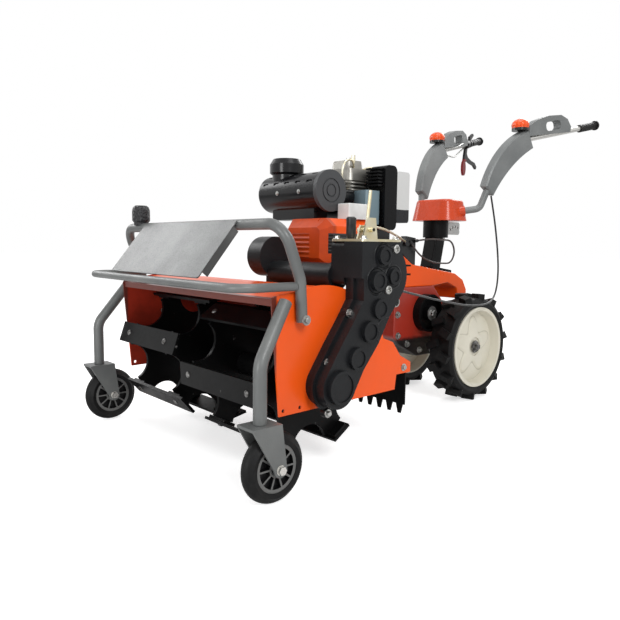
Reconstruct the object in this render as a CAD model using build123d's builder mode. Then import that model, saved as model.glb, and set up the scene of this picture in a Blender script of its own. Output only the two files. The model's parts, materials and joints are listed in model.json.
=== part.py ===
"""Walk-behind power tiller: a front bladed rotor, two swivel casters, a diesel engine, two lugged wheels.

Millimetres. +Z is up and z = 0 is the ground. The machine faces -Y and its handlebars reach out to +Y.
+X is the machine's left side, the side of the gear case. The origin is the middle of its footprint.
"""

import os
from math import cos, hypot, pi, radians, sin, tan

from build123d import *

os.makedirs("parts", exist_ok=True)

# Clearances between pieces
running_clearance = 0.05
seat_clearance = 0.3

# Rotor and the deck that covers it
rotor_y = -675.0
rotor_z = 230.0
blade_reach = 180.0
blade_width = 60.0
blade_thick = 8.0
blade_tab = 8.0
arm_count = 6
star_thick = 10.0
drum_radius = 32.0
journal_radius = 15.0
deck_half = 375.0
plate_thick = 4.0
sheet_thick = 3.0
skirt_drop = 60.0
hood_radius = 230.0
hood_reach = 155.0
hood_front_drop = 22.0
comb_gap = 87.0
comb_drop = 130.0

# Front frame and casters
hoop_radius = 13.0
hoop_top_y = -808.0
hoop_top_z = 603.0
bumper_radius = 10.0
bumper_y = -926.0
bumper_z = 465.0
caster_outset = 43.0
caster_y = -892.0
caster_trail = 34.0
caster_radius = 80.0
caster_width = 42.0
leg_radius = 15.0
stem_radius = 9.0
fork_rise = 94.0
fork_plate = 6.0

# Gear case on the left side plate
case_depth = 61.0
case_rise = 26.0

# Drive wheels, gearbox and engine
wheel_y = 268.0
wheel_radius = 195.0
wheel_x = 152.0
wheel_width = 96.0
tyre_depth = 49.0
lug_height = 17.0
axle_radius = 15.0
gearbox_half = 58.0
gearbox_height = 220.0
rail_height = 35.7

# Handlebars
column_size = 56.0
hub_y = 252.0
hub_bottom = 600.0
hub_top = 655.0
hub_radius = 47.0
bar_radius = 12.5

# Levels and edges that follow from these
deck_bottom = rotor_z - skirt_drop
deck_front_high = rotor_y - hood_reach
deck_front_low = deck_front_high + 24
deck_front_z = rotor_z + hood_radius - hood_front_drop
comb_y = rotor_y + hood_radius + comb_gap
comb_z = rotor_z - 4
caster_x = deck_half + caster_outset
fork_top = caster_radius + fork_rise
case_inner = deck_half
case_outer = case_inner + case_depth
rim_radius = wheel_radius - tyre_depth
gearbox_top = wheel_radius + gearbox_height
rail_bottom = rotor_z + hood_radius + seat_clearance
engine_base = rail_bottom + rail_height


def save(piece, name):
    piece.part.label = name
    export_step(piece.part, f"parts/{name}.step")


def around_rotor(radius, angle):
    """A point of the side view at a radius and an angle about the rotor's axis."""
    return (rotor_y + radius * cos(radians(angle)), rotor_z + radius * sin(radians(angle)))


def side_plane(x):
    """The machine's side view at station x: local x runs along +Y and local y along +Z."""
    return Plane(origin=(x, 0, 0), x_dir=(0, 1, 0), z_dir=(1, 0, 0))


sides = (("left", 1), ("right", -1))

# Deck side plates: laser-cut plates with a curved top behind the rotor and an ear for the comb.
hood_start = 97.0
hood_end = 22.0
plate_edge = 4.0
bearing_hole = 20.0

for side, way in sides:
    with BuildPart() as deck_side:
        with BuildSketch(side_plane(way * (deck_half - plate_thick / 2))):
            with BuildLine():
                Polyline(
                    around_rotor(hood_radius + plate_edge, hood_start),
                    (deck_front_high, deck_front_z + plate_edge),
                    (deck_front_low, deck_bottom),
                    (comb_y - 50, deck_bottom + 4),
                    (comb_y - 44, comb_z - 12),
                    (comb_y + 14, comb_z - 12),
                    (comb_y + 14, comb_z + 16),
                    (comb_y - 30, comb_z + 38),
                    (comb_y - 62, comb_z + 78),
                    around_rotor(hood_radius + plate_edge, hood_end),
                )
                CenterArc(
                    (rotor_y, rotor_z),
                    hood_radius + plate_edge,
                    hood_end,
                    hood_start - hood_end,
                )
            make_face()
            with Locations((rotor_y, rotor_z)):
                Circle(bearing_hole, mode=Mode.SUBTRACT)
            with Locations((deck_front_low + 12, deck_bottom + 12), (deck_front_low + 62, deck_bottom + 12)):
                Circle(4.5, mode=Mode.SUBTRACT)
        extrude(amount=plate_thick / 2, both=True)
        fillet(deck_side.edges().filter_by(Axis.X).group_by(Axis.Y)[0], 10)
    save(deck_side, f"deck_side_{side}")

# Hood: one bent sheet between the side plates, with a lip folded down along its front edge.
hood_half = deck_half - plate_thick
lip_depth = 16.0
hood_rear = (comb_y - 46.0, comb_z + 40.0)
hood_rear_low = (comb_y - 46.0, comb_z - 6.0)

with BuildPart() as deck_hood:
    with BuildSketch(side_plane(0)):
        with BuildLine():
            Polyline(
                around_rotor(hood_radius, hood_start),
                (deck_front_high + 4, deck_front_z),
                (deck_front_high + 5.5, deck_front_z - lip_depth),
                (deck_front_high + 8.5, deck_front_z - lip_depth),
                (deck_front_high + 8, deck_front_z - sheet_thick),
                around_rotor(hood_radius - sheet_thick, hood_start),
            )
            CenterArc((rotor_y, rotor_z), hood_radius - sheet_thick, hood_end, hood_start - hood_end)
            Polyline(
                around_rotor(hood_radius - sheet_thick, hood_end),
                (hood_rear[0] - sheet_thick, hood_rear[1] - 1),
                (hood_rear_low[0] - sheet_thick, hood_rear_low[1]),
                hood_rear_low,
                hood_rear,
                around_rotor(hood_radius, hood_end),
            )
            CenterArc((rotor_y, rotor_z), hood_radius, hood_end, hood_start - hood_end)
        make_face()
    extrude(amount=hood_half, both=True)
save(deck_hood, "deck_hood")

# Comb: a toothed levelling plate that hangs behind the deck from a tube between the ears.
comb_half = hood_half - seat_clearance
comb_teeth = 20
comb_pitch = 2 * comb_half / comb_teeth
comb_tube = 9.0
tooth_depth = 26.0
tooth_root = 12.0
tooth_tip = 5.0

with BuildPart() as comb:
    with BuildSketch(Plane.XZ.offset(-comb_y)):
        with Locations((0, comb_z - comb_drop / 2 + tooth_depth / 2)):
            Rectangle(2 * comb_half, comb_drop - tooth_depth)
        with Locations(*[((i - (comb_teeth - 1) / 2) * comb_pitch, comb_z - comb_drop + tooth_depth)
                         for i in range(comb_teeth)]):
            with BuildSketch(mode=Mode.PRIVATE) as tooth:
                Polygon((-tooth_root, 1), (tooth_root, 1), (tooth_tip, -tooth_depth),
                        (-tooth_tip, -tooth_depth),
                        align=None)
            add(tooth.sketch)
    extrude(amount=plate_thick / 2, both=True)
    with BuildSketch(Plane.YZ):
        with Locations((comb_y, comb_z)):
            Circle(comb_tube)
    extrude(amount=comb_half, both=True)
save(comb, "comb")

# Rotor: a drum on two journals, with six-armed star plates whose arms carry the bolted blades.
# Blade groups: side, inner and outer star stations, inner and outer blade ends, phase
blade_groups = (
    ("right", -85.0, 75.0 - deck_half, -22.0, 25.0 - deck_half, 41.0),
    ("left", 60.0, deck_half - 57.0, 22.0, deck_half - 25.0, 3.0),
)
star_radius = blade_reach - blade_thick - blade_tab + 2
tab_length = 62.0
tab_width = 46.0
tab_outer = blade_reach - blade_thick
scallop_radius = 54.0
scallop_centre = blade_reach - 10
drum_half = deck_half - 23.0
housing_depth = 22.0
journal_right = 1.0 - deck_half - housing_depth
journal_left = deck_half + 37.0


def arm_planes(x, radius, phase):
    """One plane for each arm at station x, square to the arm and facing outwards."""
    planes = []
    for arm in range(arm_count):
        angle = phase + arm * 360 / arm_count
        planes.append(Plane(
            origin=(x, *around_rotor(radius, angle)),
            x_dir=(1, 0, 0),
            z_dir=(0, cos(radians(angle)), sin(radians(angle))),
        ))
    return planes


with BuildPart() as rotor_drum:
    with BuildSketch(side_plane(-drum_half)):
        with Locations((rotor_y, rotor_z)):
            Circle(drum_radius)
    extrude(amount=2 * drum_half)
    with BuildSketch(side_plane(journal_right)):
        with Locations((rotor_y, rotor_z)):
            Circle(journal_radius)
    extrude(amount=journal_left - journal_right)
    for side, inner_star, outer_star, start, end, phase in blade_groups:
        for station in (inner_star, outer_star):
            with BuildSketch(side_plane(station - star_thick / 2)):
                with Locations((rotor_y, rotor_z)):
                    Circle(star_radius)
                    with PolarLocations(scallop_centre, arm_count, start_angle=phase + 180 / arm_count):
                        Circle(scallop_radius, mode=Mode.SUBTRACT)
            extrude(amount=star_thick)
            with Locations(*arm_planes(station, tab_outer - blade_tab, phase)):
                Box(tab_length, tab_width, blade_tab, align=(Align.CENTER, Align.CENTER, Align.MIN))
save(rotor_drum, "rotor_drum")

with BuildPart() as rotor_blades:
    for side, inner_star, outer_star, start, end, phase in blade_groups:
        with Locations(*arm_planes((start + end) / 2, tab_outer, phase)):
            Box(abs(end - start), blade_width, blade_thick, align=(Align.CENTER, Align.CENTER, Align.MIN))
save(rotor_blades, "rotor_blades")

# Rotor bearing: a flanged housing on the outside of the right side plate.
flange_radius = 58.0
flange_thick = 8.0
housing_radius = 36.0

with BuildPart() as rotor_bearing:
    with BuildSketch(side_plane(-deck_half)):
        with Locations((rotor_y, rotor_z)):
            Circle(flange_radius)
    extrude(amount=-flange_thick)
    with BuildSketch(side_plane(-deck_half)):
        with Locations((rotor_y, rotor_z)):
            Circle(housing_radius)
    extrude(amount=-housing_depth)
    with BuildSketch(side_plane(-deck_half)):
        with Locations((rotor_y, rotor_z)):
            Circle(journal_radius + running_clearance)
    extrude(amount=-housing_depth, mode=Mode.SUBTRACT)
save(rotor_bearing, "rotor_bearing")

# Gear case: two cast halves round a train of gears, with a boss over each shaft and a bolted seam.
head_y = rotor_y + 130
head_z = rail_bottom + case_rise
# Lobes up the case: share of the way from the rotor to the head, offset in y, radius
case_lobes = (
    (0.0, 0.0, 52.0),
    (0.24, 8.0, 50.0),
    (0.47, 25.0, 53.0),
    (0.71, 33.0, 51.0),
    (1.0, 22.0, 78.0),
)
# Bosses on the outer face: share of the way, offset in y, offset in z, radius, height
case_bosses = (
    (0.0, 0.0, 0.0, 40.0, 12.0),
    (0.24, 23.0, 0.0, 27.0, 10.0),
    (0.47, 34.0, 2.0, 26.0, 10.0),
    (0.71, 39.0, -7.0, 25.0, 8.0),
    (1.0, 49.0, -4.0, 20.0, 8.0),
    (1.0, -12.0, -13.0, 24.0, 12.0),
    (1.0, 10.0, 47.0, 22.0, 10.0),
)
# Ears round the seam for its bolts: share of the way, offset in y, offset in z
case_ears = (
    (0.0, -14.0, -64.0),
    (0.0, 46.0, -38.0),
    (0.22, -46.0, 0.0),
    (0.24, 62.0, -14.0),
    (0.47, 80.0, -18.0),
    (0.655, -34.0, 0.0),
    (0.71, 88.0, -16.0),
)
seam_rim = 8.0
seam_thick = 8.0
seam_x = case_inner + 29
ear_radius = 11.0
boss_dish = 3.0
boss_rim = 7.0
case_head_width = 142.0
case_head_y = head_y + 7
case_head_low = head_z - 6
case_head_top = head_z + 81


def up_case(share, offset=0.0, rise=0.0):
    """A point of the side view on the way from the rotor's axis to the case's head."""
    return (rotor_y + share * (head_y - rotor_y) + offset, rotor_z + share * (head_z - rotor_z) + rise)


# The control cable's stop: where its bore ends, which way the cable runs in, radius and length
stop_end = (case_inner + 15, rotor_y + 223, rotor_z + 217)
stop_way = (18.0, -69.0, 9.0)
stop_radius = 7.0
stop_length = 36.0

with BuildPart() as gear_case:
    for first, second in zip(case_lobes, case_lobes[1:]):
        for inner, depth, rim in ((case_inner, case_depth, 0),
                                  (seam_x - seam_thick / 2, seam_thick, seam_rim)):
            with BuildSketch(side_plane(inner)):
                with Locations(up_case(*first[:2])):
                    Circle(first[2] + rim)
                with Locations(up_case(*second[:2])):
                    Circle(second[2] + rim)
                make_hull()
            extrude(amount=depth)
    with BuildSketch(side_plane(case_inner)):
        with Locations((case_head_y, (case_head_low + case_head_top) / 2)):
            Rectangle(case_head_width, case_head_top - case_head_low)
    extrude(amount=case_depth)
    with BuildSketch(side_plane(seam_x - seam_thick)):
        with Locations(*[up_case(*ear) for ear in case_ears]):
            Circle(ear_radius)
    extrude(amount=2 * seam_thick)
    for share, offset, rise, boss_radius, boss_height in case_bosses:
        with BuildSketch(side_plane(case_outer)):
            with Locations(up_case(share, offset, rise)):
                Circle(boss_radius)
        extrude(amount=boss_height)
        with BuildSketch(side_plane(case_outer + boss_height)):
            with Locations(up_case(share, offset, rise)):
                Circle(boss_radius - boss_rim)
        extrude(amount=-boss_dish, mode=Mode.SUBTRACT)
    with BuildSketch(Plane(origin=stop_end, z_dir=stop_way)):
        Circle(stop_radius)
    extrude(amount=stop_length)
    with BuildSketch(side_plane(case_inner)):
        with Locations((rotor_y, rotor_z)):
            Circle(journal_radius + running_clearance)
    extrude(amount=journal_left + 2 - case_inner, mode=Mode.SUBTRACT)
    with BuildSketch(Plane.XY.offset(case_head_top)):
        with Locations((case_inner, head_y)):
            Rectangle(4 * case_depth, 2 * case_head_width)
    extrude(amount=2 * seam_rim, mode=Mode.SUBTRACT)
save(gear_case, "gear_case")

# Transfer housing: a cast box beside the gear case, and a tube that carries the drive to it from the
# clutch drum in front of the engine.
transfer_inner = case_inner - 45
transfer_front = case_head_y - case_head_width / 2 + 1
transfer_rear = head_y + 45
transfer_bottom = rail_bottom + 2
drive_tube_y = head_y - 37
drive_tube_z = rail_bottom + 22
clutch_z = rail_bottom + 64
drive_tube_radius = 31.0
clutch_radius = 56.0
clutch_right = 8.0
clutch_left = 78.0

with BuildPart() as transfer_housing:
    with BuildSketch(side_plane(transfer_inner)):
        with Locations(((transfer_front + transfer_rear) / 2, (transfer_bottom + case_head_top) / 2)):
            RectangleRounded(transfer_rear - transfer_front, case_head_top - transfer_bottom, 12)
    extrude(amount=case_inner - transfer_inner)
    with BuildSketch(side_plane(clutch_left)):
        with Locations((drive_tube_y, drive_tube_z)):
            Circle(drive_tube_radius)
    extrude(amount=transfer_inner - clutch_left)
    for x, z, radius, depth in ((clutch_right, clutch_z, clutch_radius, clutch_left - clutch_right),
                                (transfer_inner - 14, drive_tube_z, drive_tube_radius + 5, 14)):
        with BuildSketch(side_plane(x)):
            with Locations((drive_tube_y, z)):
                Circle(radius)
        extrude(amount=depth)
    chamfer(transfer_housing.faces().sort_by(Axis.X)[0].edges(), 10)
save(transfer_housing, "transfer_housing")

# Top plate: a plated cover bolted over the gear case and the transfer housing, with the shift lever's
# bracket and its post on it.
top_plate_inner = transfer_inner - 4
top_plate_rear = head_y + 75
top_plate_thick = 6.0
bracket_thick = 5.0
bracket_height = 58.0

with BuildPart() as case_top_plate:
    with BuildSketch(Plane.XY.offset(case_head_top)):
        with Locations(((top_plate_inner + case_outer + 4) / 2, (transfer_front + top_plate_rear) / 2)):
            RectangleRounded(case_outer + 4 - top_plate_inner, top_plate_rear - transfer_front, 10)
    extrude(amount=top_plate_thick)
    for x, half, height in ((case_outer - 40, 27, bracket_height),
                            (case_outer - 66, 19, 0.7 * bracket_height)):
        with BuildSketch(side_plane(x)):
            with BuildLine():
                Polyline(
                    (head_y + half, case_head_top + 2),
                    (head_y + 0.7 * half, case_head_top + height),
                    (head_y - 0.4 * half, case_head_top + height),
                    (head_y - half, case_head_top + 2),
                    close=True,
                )
            make_face()
        extrude(amount=bracket_thick)
    with BuildSketch(side_plane(case_outer - 76)):
        with Locations((head_y, case_head_top + 0.5 * bracket_height)):
            Circle(6)
    extrude(amount=52)
    with BuildSketch(Plane.XY.offset(case_head_top)):
        with Locations((case_outer - 60, head_y - 42)):
            Circle(7)
    extrude(amount=26)
save(case_top_plate, "case_top_plate")

# Front hoop: one bent tube that rises from the side plates and crosses above the rotor.
hoop_foot_z = 384.0
hoop_foot_y = -752.0
hoop_bend = 52.0
hoop_x = deck_half + hoop_radius + seat_clearance
hoop_knee_z = 480.0
hoop_knee_y = hoop_top_y + 50

with BuildPart() as front_hoop:
    with BuildLine():
        FilletPolyline(
            (-hoop_x, hoop_foot_y, hoop_foot_z),
            (-hoop_x, hoop_knee_y, hoop_knee_z),
            (-hoop_x, hoop_top_y, hoop_top_z),
            (hoop_x, hoop_top_y, hoop_top_z),
            (hoop_x, hoop_knee_y, hoop_knee_z),
            (hoop_x, hoop_foot_y, hoop_foot_z),
            radius=hoop_bend,
        )
    with BuildSketch(Plane(
        origin=(-hoop_x, hoop_foot_y, hoop_foot_z),
        z_dir=(0, hoop_knee_y - hoop_foot_y, hoop_knee_z - hoop_foot_z),
    )):
        Circle(hoop_radius)
    sweep()
save(front_hoop, "front_hoop")

# Bumper: a thinner U-shaped tube whose arms run back to the hoop's legs.
bumper_half = hoop_x - 2
bumper_bend = 46.0
bumper_rear = hoop_top_y + 37

with BuildPart() as front_bumper:
    with BuildLine():
        FilletPolyline(
            (-bumper_half, bumper_rear, bumper_z),
            (-bumper_half, bumper_y, bumper_z),
            (bumper_half, bumper_y, bumper_z),
            (bumper_half, bumper_rear, bumper_z),
            radius=bumper_bend,
        )
    with BuildSketch(Plane(origin=(-bumper_half, bumper_rear, bumper_z), z_dir=(0, -1, 0))):
        Circle(bumper_radius)
    sweep()
save(front_bumper, "front_bumper")

# Deflector: a folded sheet that slopes from the hoop's top bar down to the bumper, stiffened by a
# flange down its left edge.
panel_left = 232.0
panel_right = -228.0
panel_flange = 20.0
panel_foot_y = bumper_y + bumper_radius
panel_foot_z = bumper_z + 6
panel_run = (panel_foot_y - hoop_top_y, panel_foot_z - hoop_top_z)
panel_length = hypot(*panel_run)
panel_plane = Plane(
    origin=((panel_left + panel_right) / 2, (panel_foot_y + hoop_top_y) / 2,
            (panel_foot_z + hoop_top_z) / 2),
    x_dir=(1, 0, 0),
    z_dir=(0, panel_run[1] / panel_length, -panel_run[0] / panel_length),
)
panel_skin = hoop_radius + seat_clearance

with BuildPart() as deflector_panel:
    with BuildSketch(panel_plane.offset(panel_skin)):
        RectangleRounded(panel_left - panel_right, panel_length, 6)
    extrude(amount=sheet_thick)
    for edge in (1, -1):
        with BuildSketch(panel_plane.offset(panel_skin + sheet_thick)):
            with Locations((edge * (panel_left - panel_right - sheet_thick) / 2, 0)):
                Rectangle(sheet_thick, panel_length - 2 * hoop_radius - 10)
        extrude(amount=-panel_flange)
save(deflector_panel, "deflector_panel")

# Caster legs: tubes that run from the side plates forward and down to the caster sockets.
leg_top_y = -802.0
leg_top_z = 432.0
leg_knee_y = -886.0
leg_knee_z = 309.0
leg_low_z = fork_top + fork_plate + 1.0
socket_depth = 52.0
leg_top_x = deck_half + leg_radius + seat_clearance

for side, way in sides:
    with BuildPart() as caster_leg:
        with BuildLine():
            FilletPolyline(
                (way * leg_top_x, leg_top_y, leg_top_z),
                (way * caster_x, caster_y, leg_knee_z),
                (way * caster_x, caster_y, leg_low_z),
                radius=60,
            )
        with BuildSketch(Plane(
            origin=(way * leg_top_x, leg_top_y, leg_top_z),
            z_dir=(way * (caster_x - leg_top_x), caster_y - leg_top_y, leg_knee_z - leg_top_z),
        )):
            Circle(leg_radius)
        sweep()
        with BuildSketch(Plane.XY.offset(leg_low_z)):
            with Locations((way * caster_x, caster_y)):
                Circle(stem_radius + running_clearance)
        extrude(amount=socket_depth, mode=Mode.SUBTRACT)
    save(caster_leg, f"caster_leg_{side}")

# Caster forks: a square top plate, a stem in the leg's socket and two tapering arms.
fork_arm = 5.0
fork_gap = caster_width / 2 + 4.0
fork_half = fork_gap + fork_arm
axle_y = caster_y + caster_trail
caster_bolt = 6.0
fork_reach = 38.0
bolt_head = 8.0

for side, way in sides:
    with BuildPart() as caster_fork:
        with BuildSketch(Plane.XY.offset(fork_top)):
            with Locations((way * caster_x, caster_y)):
                Rectangle(2 * fork_half, 2 * fork_reach)
        extrude(amount=fork_plate)
        with BuildSketch(Plane.XY.offset(fork_top)):
            with Locations((way * caster_x, caster_y)):
                Circle(stem_radius)
        extrude(amount=leg_low_z - fork_top + socket_depth - 2)
        for x in (-fork_half, fork_gap):
            with BuildSketch(side_plane(way * caster_x + x)):
                with BuildLine():
                    Polyline(
                        (axle_y + 17, caster_radius),
                        (caster_y + fork_reach, fork_top + 1),
                        (caster_y - fork_reach, fork_top + 1),
                        (axle_y - 17, caster_radius),
                    )
                    CenterArc((axle_y, caster_radius), 17, 180, 180)
                make_face()
            extrude(amount=fork_arm)
        with BuildSketch(side_plane(way * caster_x)):
            with Locations((axle_y, caster_radius)):
                Circle(caster_bolt)
        extrude(amount=fork_half, both=True)
        for x in (fork_half, -fork_half - bolt_head):
            with BuildSketch(side_plane(way * caster_x + x)):
                with Locations((axle_y, caster_radius)):
                    RegularPolygon(caster_bolt + 4, 6)
            extrude(amount=bolt_head)
    save(caster_fork, f"caster_fork_{side}")
    with BuildPart() as caster_hub:
        with BuildSketch(side_plane(way * caster_x)):
            with Locations((axle_y, caster_radius)):
                Circle(54)
        extrude(amount=caster_width / 2 - 5, both=True)
        for x in (caster_width / 2 - 15, -caster_width / 2 + 5):
            with BuildSketch(side_plane(way * caster_x + x)):
                with Locations((axle_y, caster_radius)):
                    Circle(46)
                    Circle(20, mode=Mode.SUBTRACT)
                    with PolarLocations(33, 10):
                        Rectangle(28, 4, mode=Mode.SUBTRACT)
            extrude(amount=10, mode=Mode.SUBTRACT)
        with BuildSketch(side_plane(way * caster_x)):
            with Locations((axle_y, caster_radius)):
                Circle(16)
        extrude(amount=caster_width / 2 + 2, both=True)
        with BuildSketch(side_plane(way * caster_x)):
            with Locations((axle_y, caster_radius)):
                Circle(caster_bolt + running_clearance)
        extrude(amount=caster_width, both=True, mode=Mode.SUBTRACT)
    save(caster_hub, f"caster_hub_{side}")
    with BuildPart() as caster_tyre:
        with BuildSketch(Plane(origin=(way * caster_x, axle_y, caster_radius), x_dir=(1, 0, 0),
                               z_dir=(0, -1, 0))):
            with BuildLine():
                Polyline(
                    (-caster_width / 2 + 6, caster_radius - 9),
                    (-caster_width / 2, caster_radius - 16),
                    (-caster_width / 2 + 3, 54),
                    (caster_width / 2 - 3, 54),
                    (caster_width / 2, caster_radius - 16),
                    (caster_width / 2 - 6, caster_radius - 9),
                )
                ThreePointArc(
                    (caster_width / 2 - 6, caster_radius - 9),
                    (0, caster_radius),
                    (-caster_width / 2 + 6, caster_radius - 9),
                )
            make_face()
        revolve(axis=Axis((way * caster_x, axle_y, caster_radius), (1, 0, 0)))
    save(caster_tyre, f"caster_tyre_{side}")

# Drive wheels: a wide rubber tyre with angled lugs on a deep dished steel rim.
lug_count = 14
lug_angle = 24.0
lug_length = 44.0
lug_offset = 22.0
lug_thick = 26.0
lug_root = 6.0
tread_radius = wheel_radius - lug_height
lug_half = (lug_length * sin(radians(lug_angle)) + lug_thick * cos(radians(lug_angle))) / 2
lug_face = (wheel_radius ** 2 - lug_half ** 2) ** 0.5

for side, way in sides:
    with BuildPart() as drive_tyre:
        with BuildSketch(Plane(origin=(way * wheel_x, wheel_y, wheel_radius), x_dir=(way, 0, 0),
                               z_dir=(0, -way, 0))):
            with BuildLine():
                FilletPolyline(
                    (-wheel_width / 2 + 6, rim_radius),
                    (-wheel_width / 2, rim_radius + 0.37 * tyre_depth),
                    (-wheel_width / 2 + 8, tread_radius),
                    (wheel_width / 2 - 8, tread_radius),
                    (wheel_width / 2, rim_radius + 0.37 * tyre_depth),
                    (wheel_width / 2 - 6, rim_radius),
                    radius=4,
                    close=True,
                )
            make_face()
        revolve(axis=Axis((way * wheel_x, wheel_y, wheel_radius), (1, 0, 0)))
        lug_planes = []
        for lug in range(lug_count):
            for half in (-1, 1):
                turn = radians((lug + half / 4) * 360 / lug_count)
                lean = radians(half * lug_angle)
                lug_planes.append(Plane(
                    origin=(
                        way * wheel_x + half * lug_offset,
                        wheel_y + (tread_radius - lug_root) * cos(turn),
                        wheel_radius + (tread_radius - lug_root) * sin(turn),
                    ),
                    x_dir=(cos(lean), -sin(lean) * sin(turn), sin(lean) * cos(turn)),
                    z_dir=(0, cos(turn), sin(turn)),
                ))
        with Locations(*lug_planes):
            Box(
                lug_length,
                lug_thick,
                lug_face - tread_radius + lug_root,
                align=(Align.CENTER, Align.CENTER, Align.MIN),
            )
    save(drive_tyre, f"drive_tyre_{side}")
    with BuildPart() as drive_rim:
        with BuildSketch(Plane(origin=(way * wheel_x, wheel_y, wheel_radius), x_dir=(way, 0, 0),
                               z_dir=(0, -way, 0))):
            with BuildLine():
                Polyline(
                    (wheel_width / 2 - 2, rim_radius - 12),
                    (wheel_width / 2 - 2, rim_radius),
                    (-wheel_width / 2 + 6, rim_radius),
                    (-wheel_width / 2 + 6, rim_radius - 5),
                    (4, rim_radius - 7),
                    (8, 60),
                    (14, 34),
                    (-14, 34),
                    (-14, 0),
                    (24, 0),
                    (24, 34),
                    (18, 62),
                    (14, rim_radius - 20),
                    close=True,
                )
            make_face()
        revolve(axis=Axis((way * wheel_x, wheel_y, wheel_radius), (1, 0, 0)))
        with BuildSketch(side_plane(way * (gearbox_half - 8))):
            with Locations((wheel_y, wheel_radius)):
                Circle(axle_radius)
        extrude(amount=way * (wheel_x + 30 - gearbox_half + 8))
    save(drive_rim, f"drive_rim_{side}")

# Gearbox: the cast transmission with the axle's housings on both sides.
axle_housing_radius = 30.0
axle_housing_end = 96.0
# Side outline as offsets from the wheel axle
gearbox_outline = (
    (-313.0, 48.0),
    (-313.0, gearbox_height),
    (-93.0, gearbox_height),
    (22.0, 105.0),
    (66.0, 40.0),
    (46.0, -36.0),
    (-180.0, -32.0),
    (-288.0, 18.0),
)

with BuildPart() as gearbox:
    with BuildSketch(side_plane(0)):
        with BuildLine():
            FilletPolyline(*[(wheel_y + y, wheel_radius + z) for y, z in gearbox_outline], radius=14,
                           close=True)
        make_face()
    extrude(amount=gearbox_half, both=True)
    fillet(gearbox.faces().filter_by(Axis.X).edges(), 5)
    for half, radius in ((gearbox_half + 10, axle_housing_radius + 16),
                         (axle_housing_end, axle_housing_radius)):
        with BuildSketch(side_plane(0)):
            with Locations((wheel_y, wheel_radius)):
                Circle(radius)
        extrude(amount=half, both=True)
    with BuildSketch(side_plane(0)):
        with Locations((wheel_y, wheel_radius)):
            Circle(axle_radius + running_clearance)
    extrude(amount=axle_housing_end + 1, both=True, mode=Mode.SUBTRACT)
save(gearbox, "gearbox")

# Gearbox cover: the painted casting above the gearbox that carries the handle column.
# Side outline as offsets from the wheel axle's y and the gearbox's top
cover_outline = (
    (-293.0, 0.0),
    (-293.0, 125.0),
    (-220.0, 80.0),
    (-107.0, 63.0),
    (38.0, 43.0),
    (91.0, 17.0),
    (116.0, -21.0),
    (116.0, -55.0),
    (63.0, -55.0),
    (50.0, -13.0),
    (-6.0, 9.0),
    (-92.0, 0.0),
)
cover_points = [(wheel_y + y, gearbox_top + z) for y, z in cover_outline]

with BuildPart() as gearbox_cover:
    with BuildSketch(side_plane(0)):
        with BuildLine():
            FilletPolyline(*cover_points, radius=8, close=True)
        make_face()
    extrude(amount=gearbox_half, both=True)
    fillet(gearbox_cover.faces().filter_by(Axis.X).edges(), 4)
save(gearbox_cover, "gearbox_cover")

# Side drum: the brake drum on the left of the gearbox, a dished disc on its shaft.
drum_y = wheel_y - 143
drum_z = wheel_radius + 124
brake_radius = 68.0
brake_wall = 8.0
brake_depth = 30.0

with BuildPart() as side_drum:
    with BuildSketch(side_plane(gearbox_half)):
        with Locations((drum_y, drum_z)):
            Circle(brake_radius)
    extrude(amount=brake_depth)
    with BuildSketch(side_plane(gearbox_half + brake_depth)):
        with Locations((drum_y, drum_z)):
            Circle(brake_radius - brake_wall)
    extrude(amount=12 - brake_depth, mode=Mode.SUBTRACT)
    with BuildSketch(side_plane(gearbox_half)):
        with Locations((drum_y, drum_z)):
            Circle(0.4 * brake_radius)
    extrude(amount=brake_depth + 4)
    with BuildSketch(side_plane(gearbox_half)):
        with Locations((drum_y, drum_z)):
            RegularPolygon(13, 6)
    extrude(amount=brake_depth + 14)
save(side_drum, "side_drum")

# Engine frame: two channels from a plate on the back of the hood to the gearbox cover.
rail_x = 90.0
rail_width = 40.0
rail_front = rotor_y + hood_radius - 27
rail_rear = cover_points[0][0] - seat_clearance
rail_wall = 6.0
frame_foot_z = rotor_z + 100

with BuildPart() as engine_frame:
    for way in (-1, 1):
        with BuildSketch(Plane.XY.offset(rail_bottom)):
            with Locations((way * rail_x, (rail_front + rail_rear) / 2)):
                Rectangle(rail_width, rail_rear - rail_front)
        extrude(amount=engine_base - rail_bottom)
        with BuildSketch(Plane.XY.offset(rail_bottom + rail_wall)):
            with Locations((way * (rail_x + rail_wall), (rail_front + rail_rear) / 2)):
                Rectangle(rail_width, rail_rear - rail_front)
        extrude(amount=engine_base - rail_bottom - 2 * rail_wall, mode=Mode.SUBTRACT)
    for cross_y in (rail_front + 30, rail_front + 142, rail_rear - 20):
        with BuildSketch(Plane.XY.offset(rail_bottom)):
            with Locations((0, cross_y)):
                Rectangle(2 * rail_x, 40)
        extrude(amount=engine_base - rail_bottom - rail_wall)
    with BuildSketch(Plane.XZ.offset(-rail_front)):
        with Locations((0, (frame_foot_z + engine_base - rail_wall) / 2)):
            Rectangle(2 * rail_x + rail_width, engine_base - rail_wall - frame_foot_z)
    extrude(amount=-12)
    with BuildSketch(side_plane(0)):
        with Locations((rotor_y, rotor_z)):
            Circle(hood_radius + seat_clearance)
    extrude(amount=2 * rail_x, both=True, mode=Mode.SUBTRACT)
save(engine_frame, "engine_frame")

# Engine: the crankcase with its finned cylinder, head, rocker cover and side duct as one casting.
block_right = -105.0
block_left = 120.0
crank_top = engine_base + 172
block_front = -330.0
bore_x = 40.0
bore_y = -262.0
fin_count = 8
fin_pitch = 10.5
fin_thick = 4.0
head_bottom = crank_top + 4 + fin_count * fin_pitch
head_height = 36.0

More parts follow.
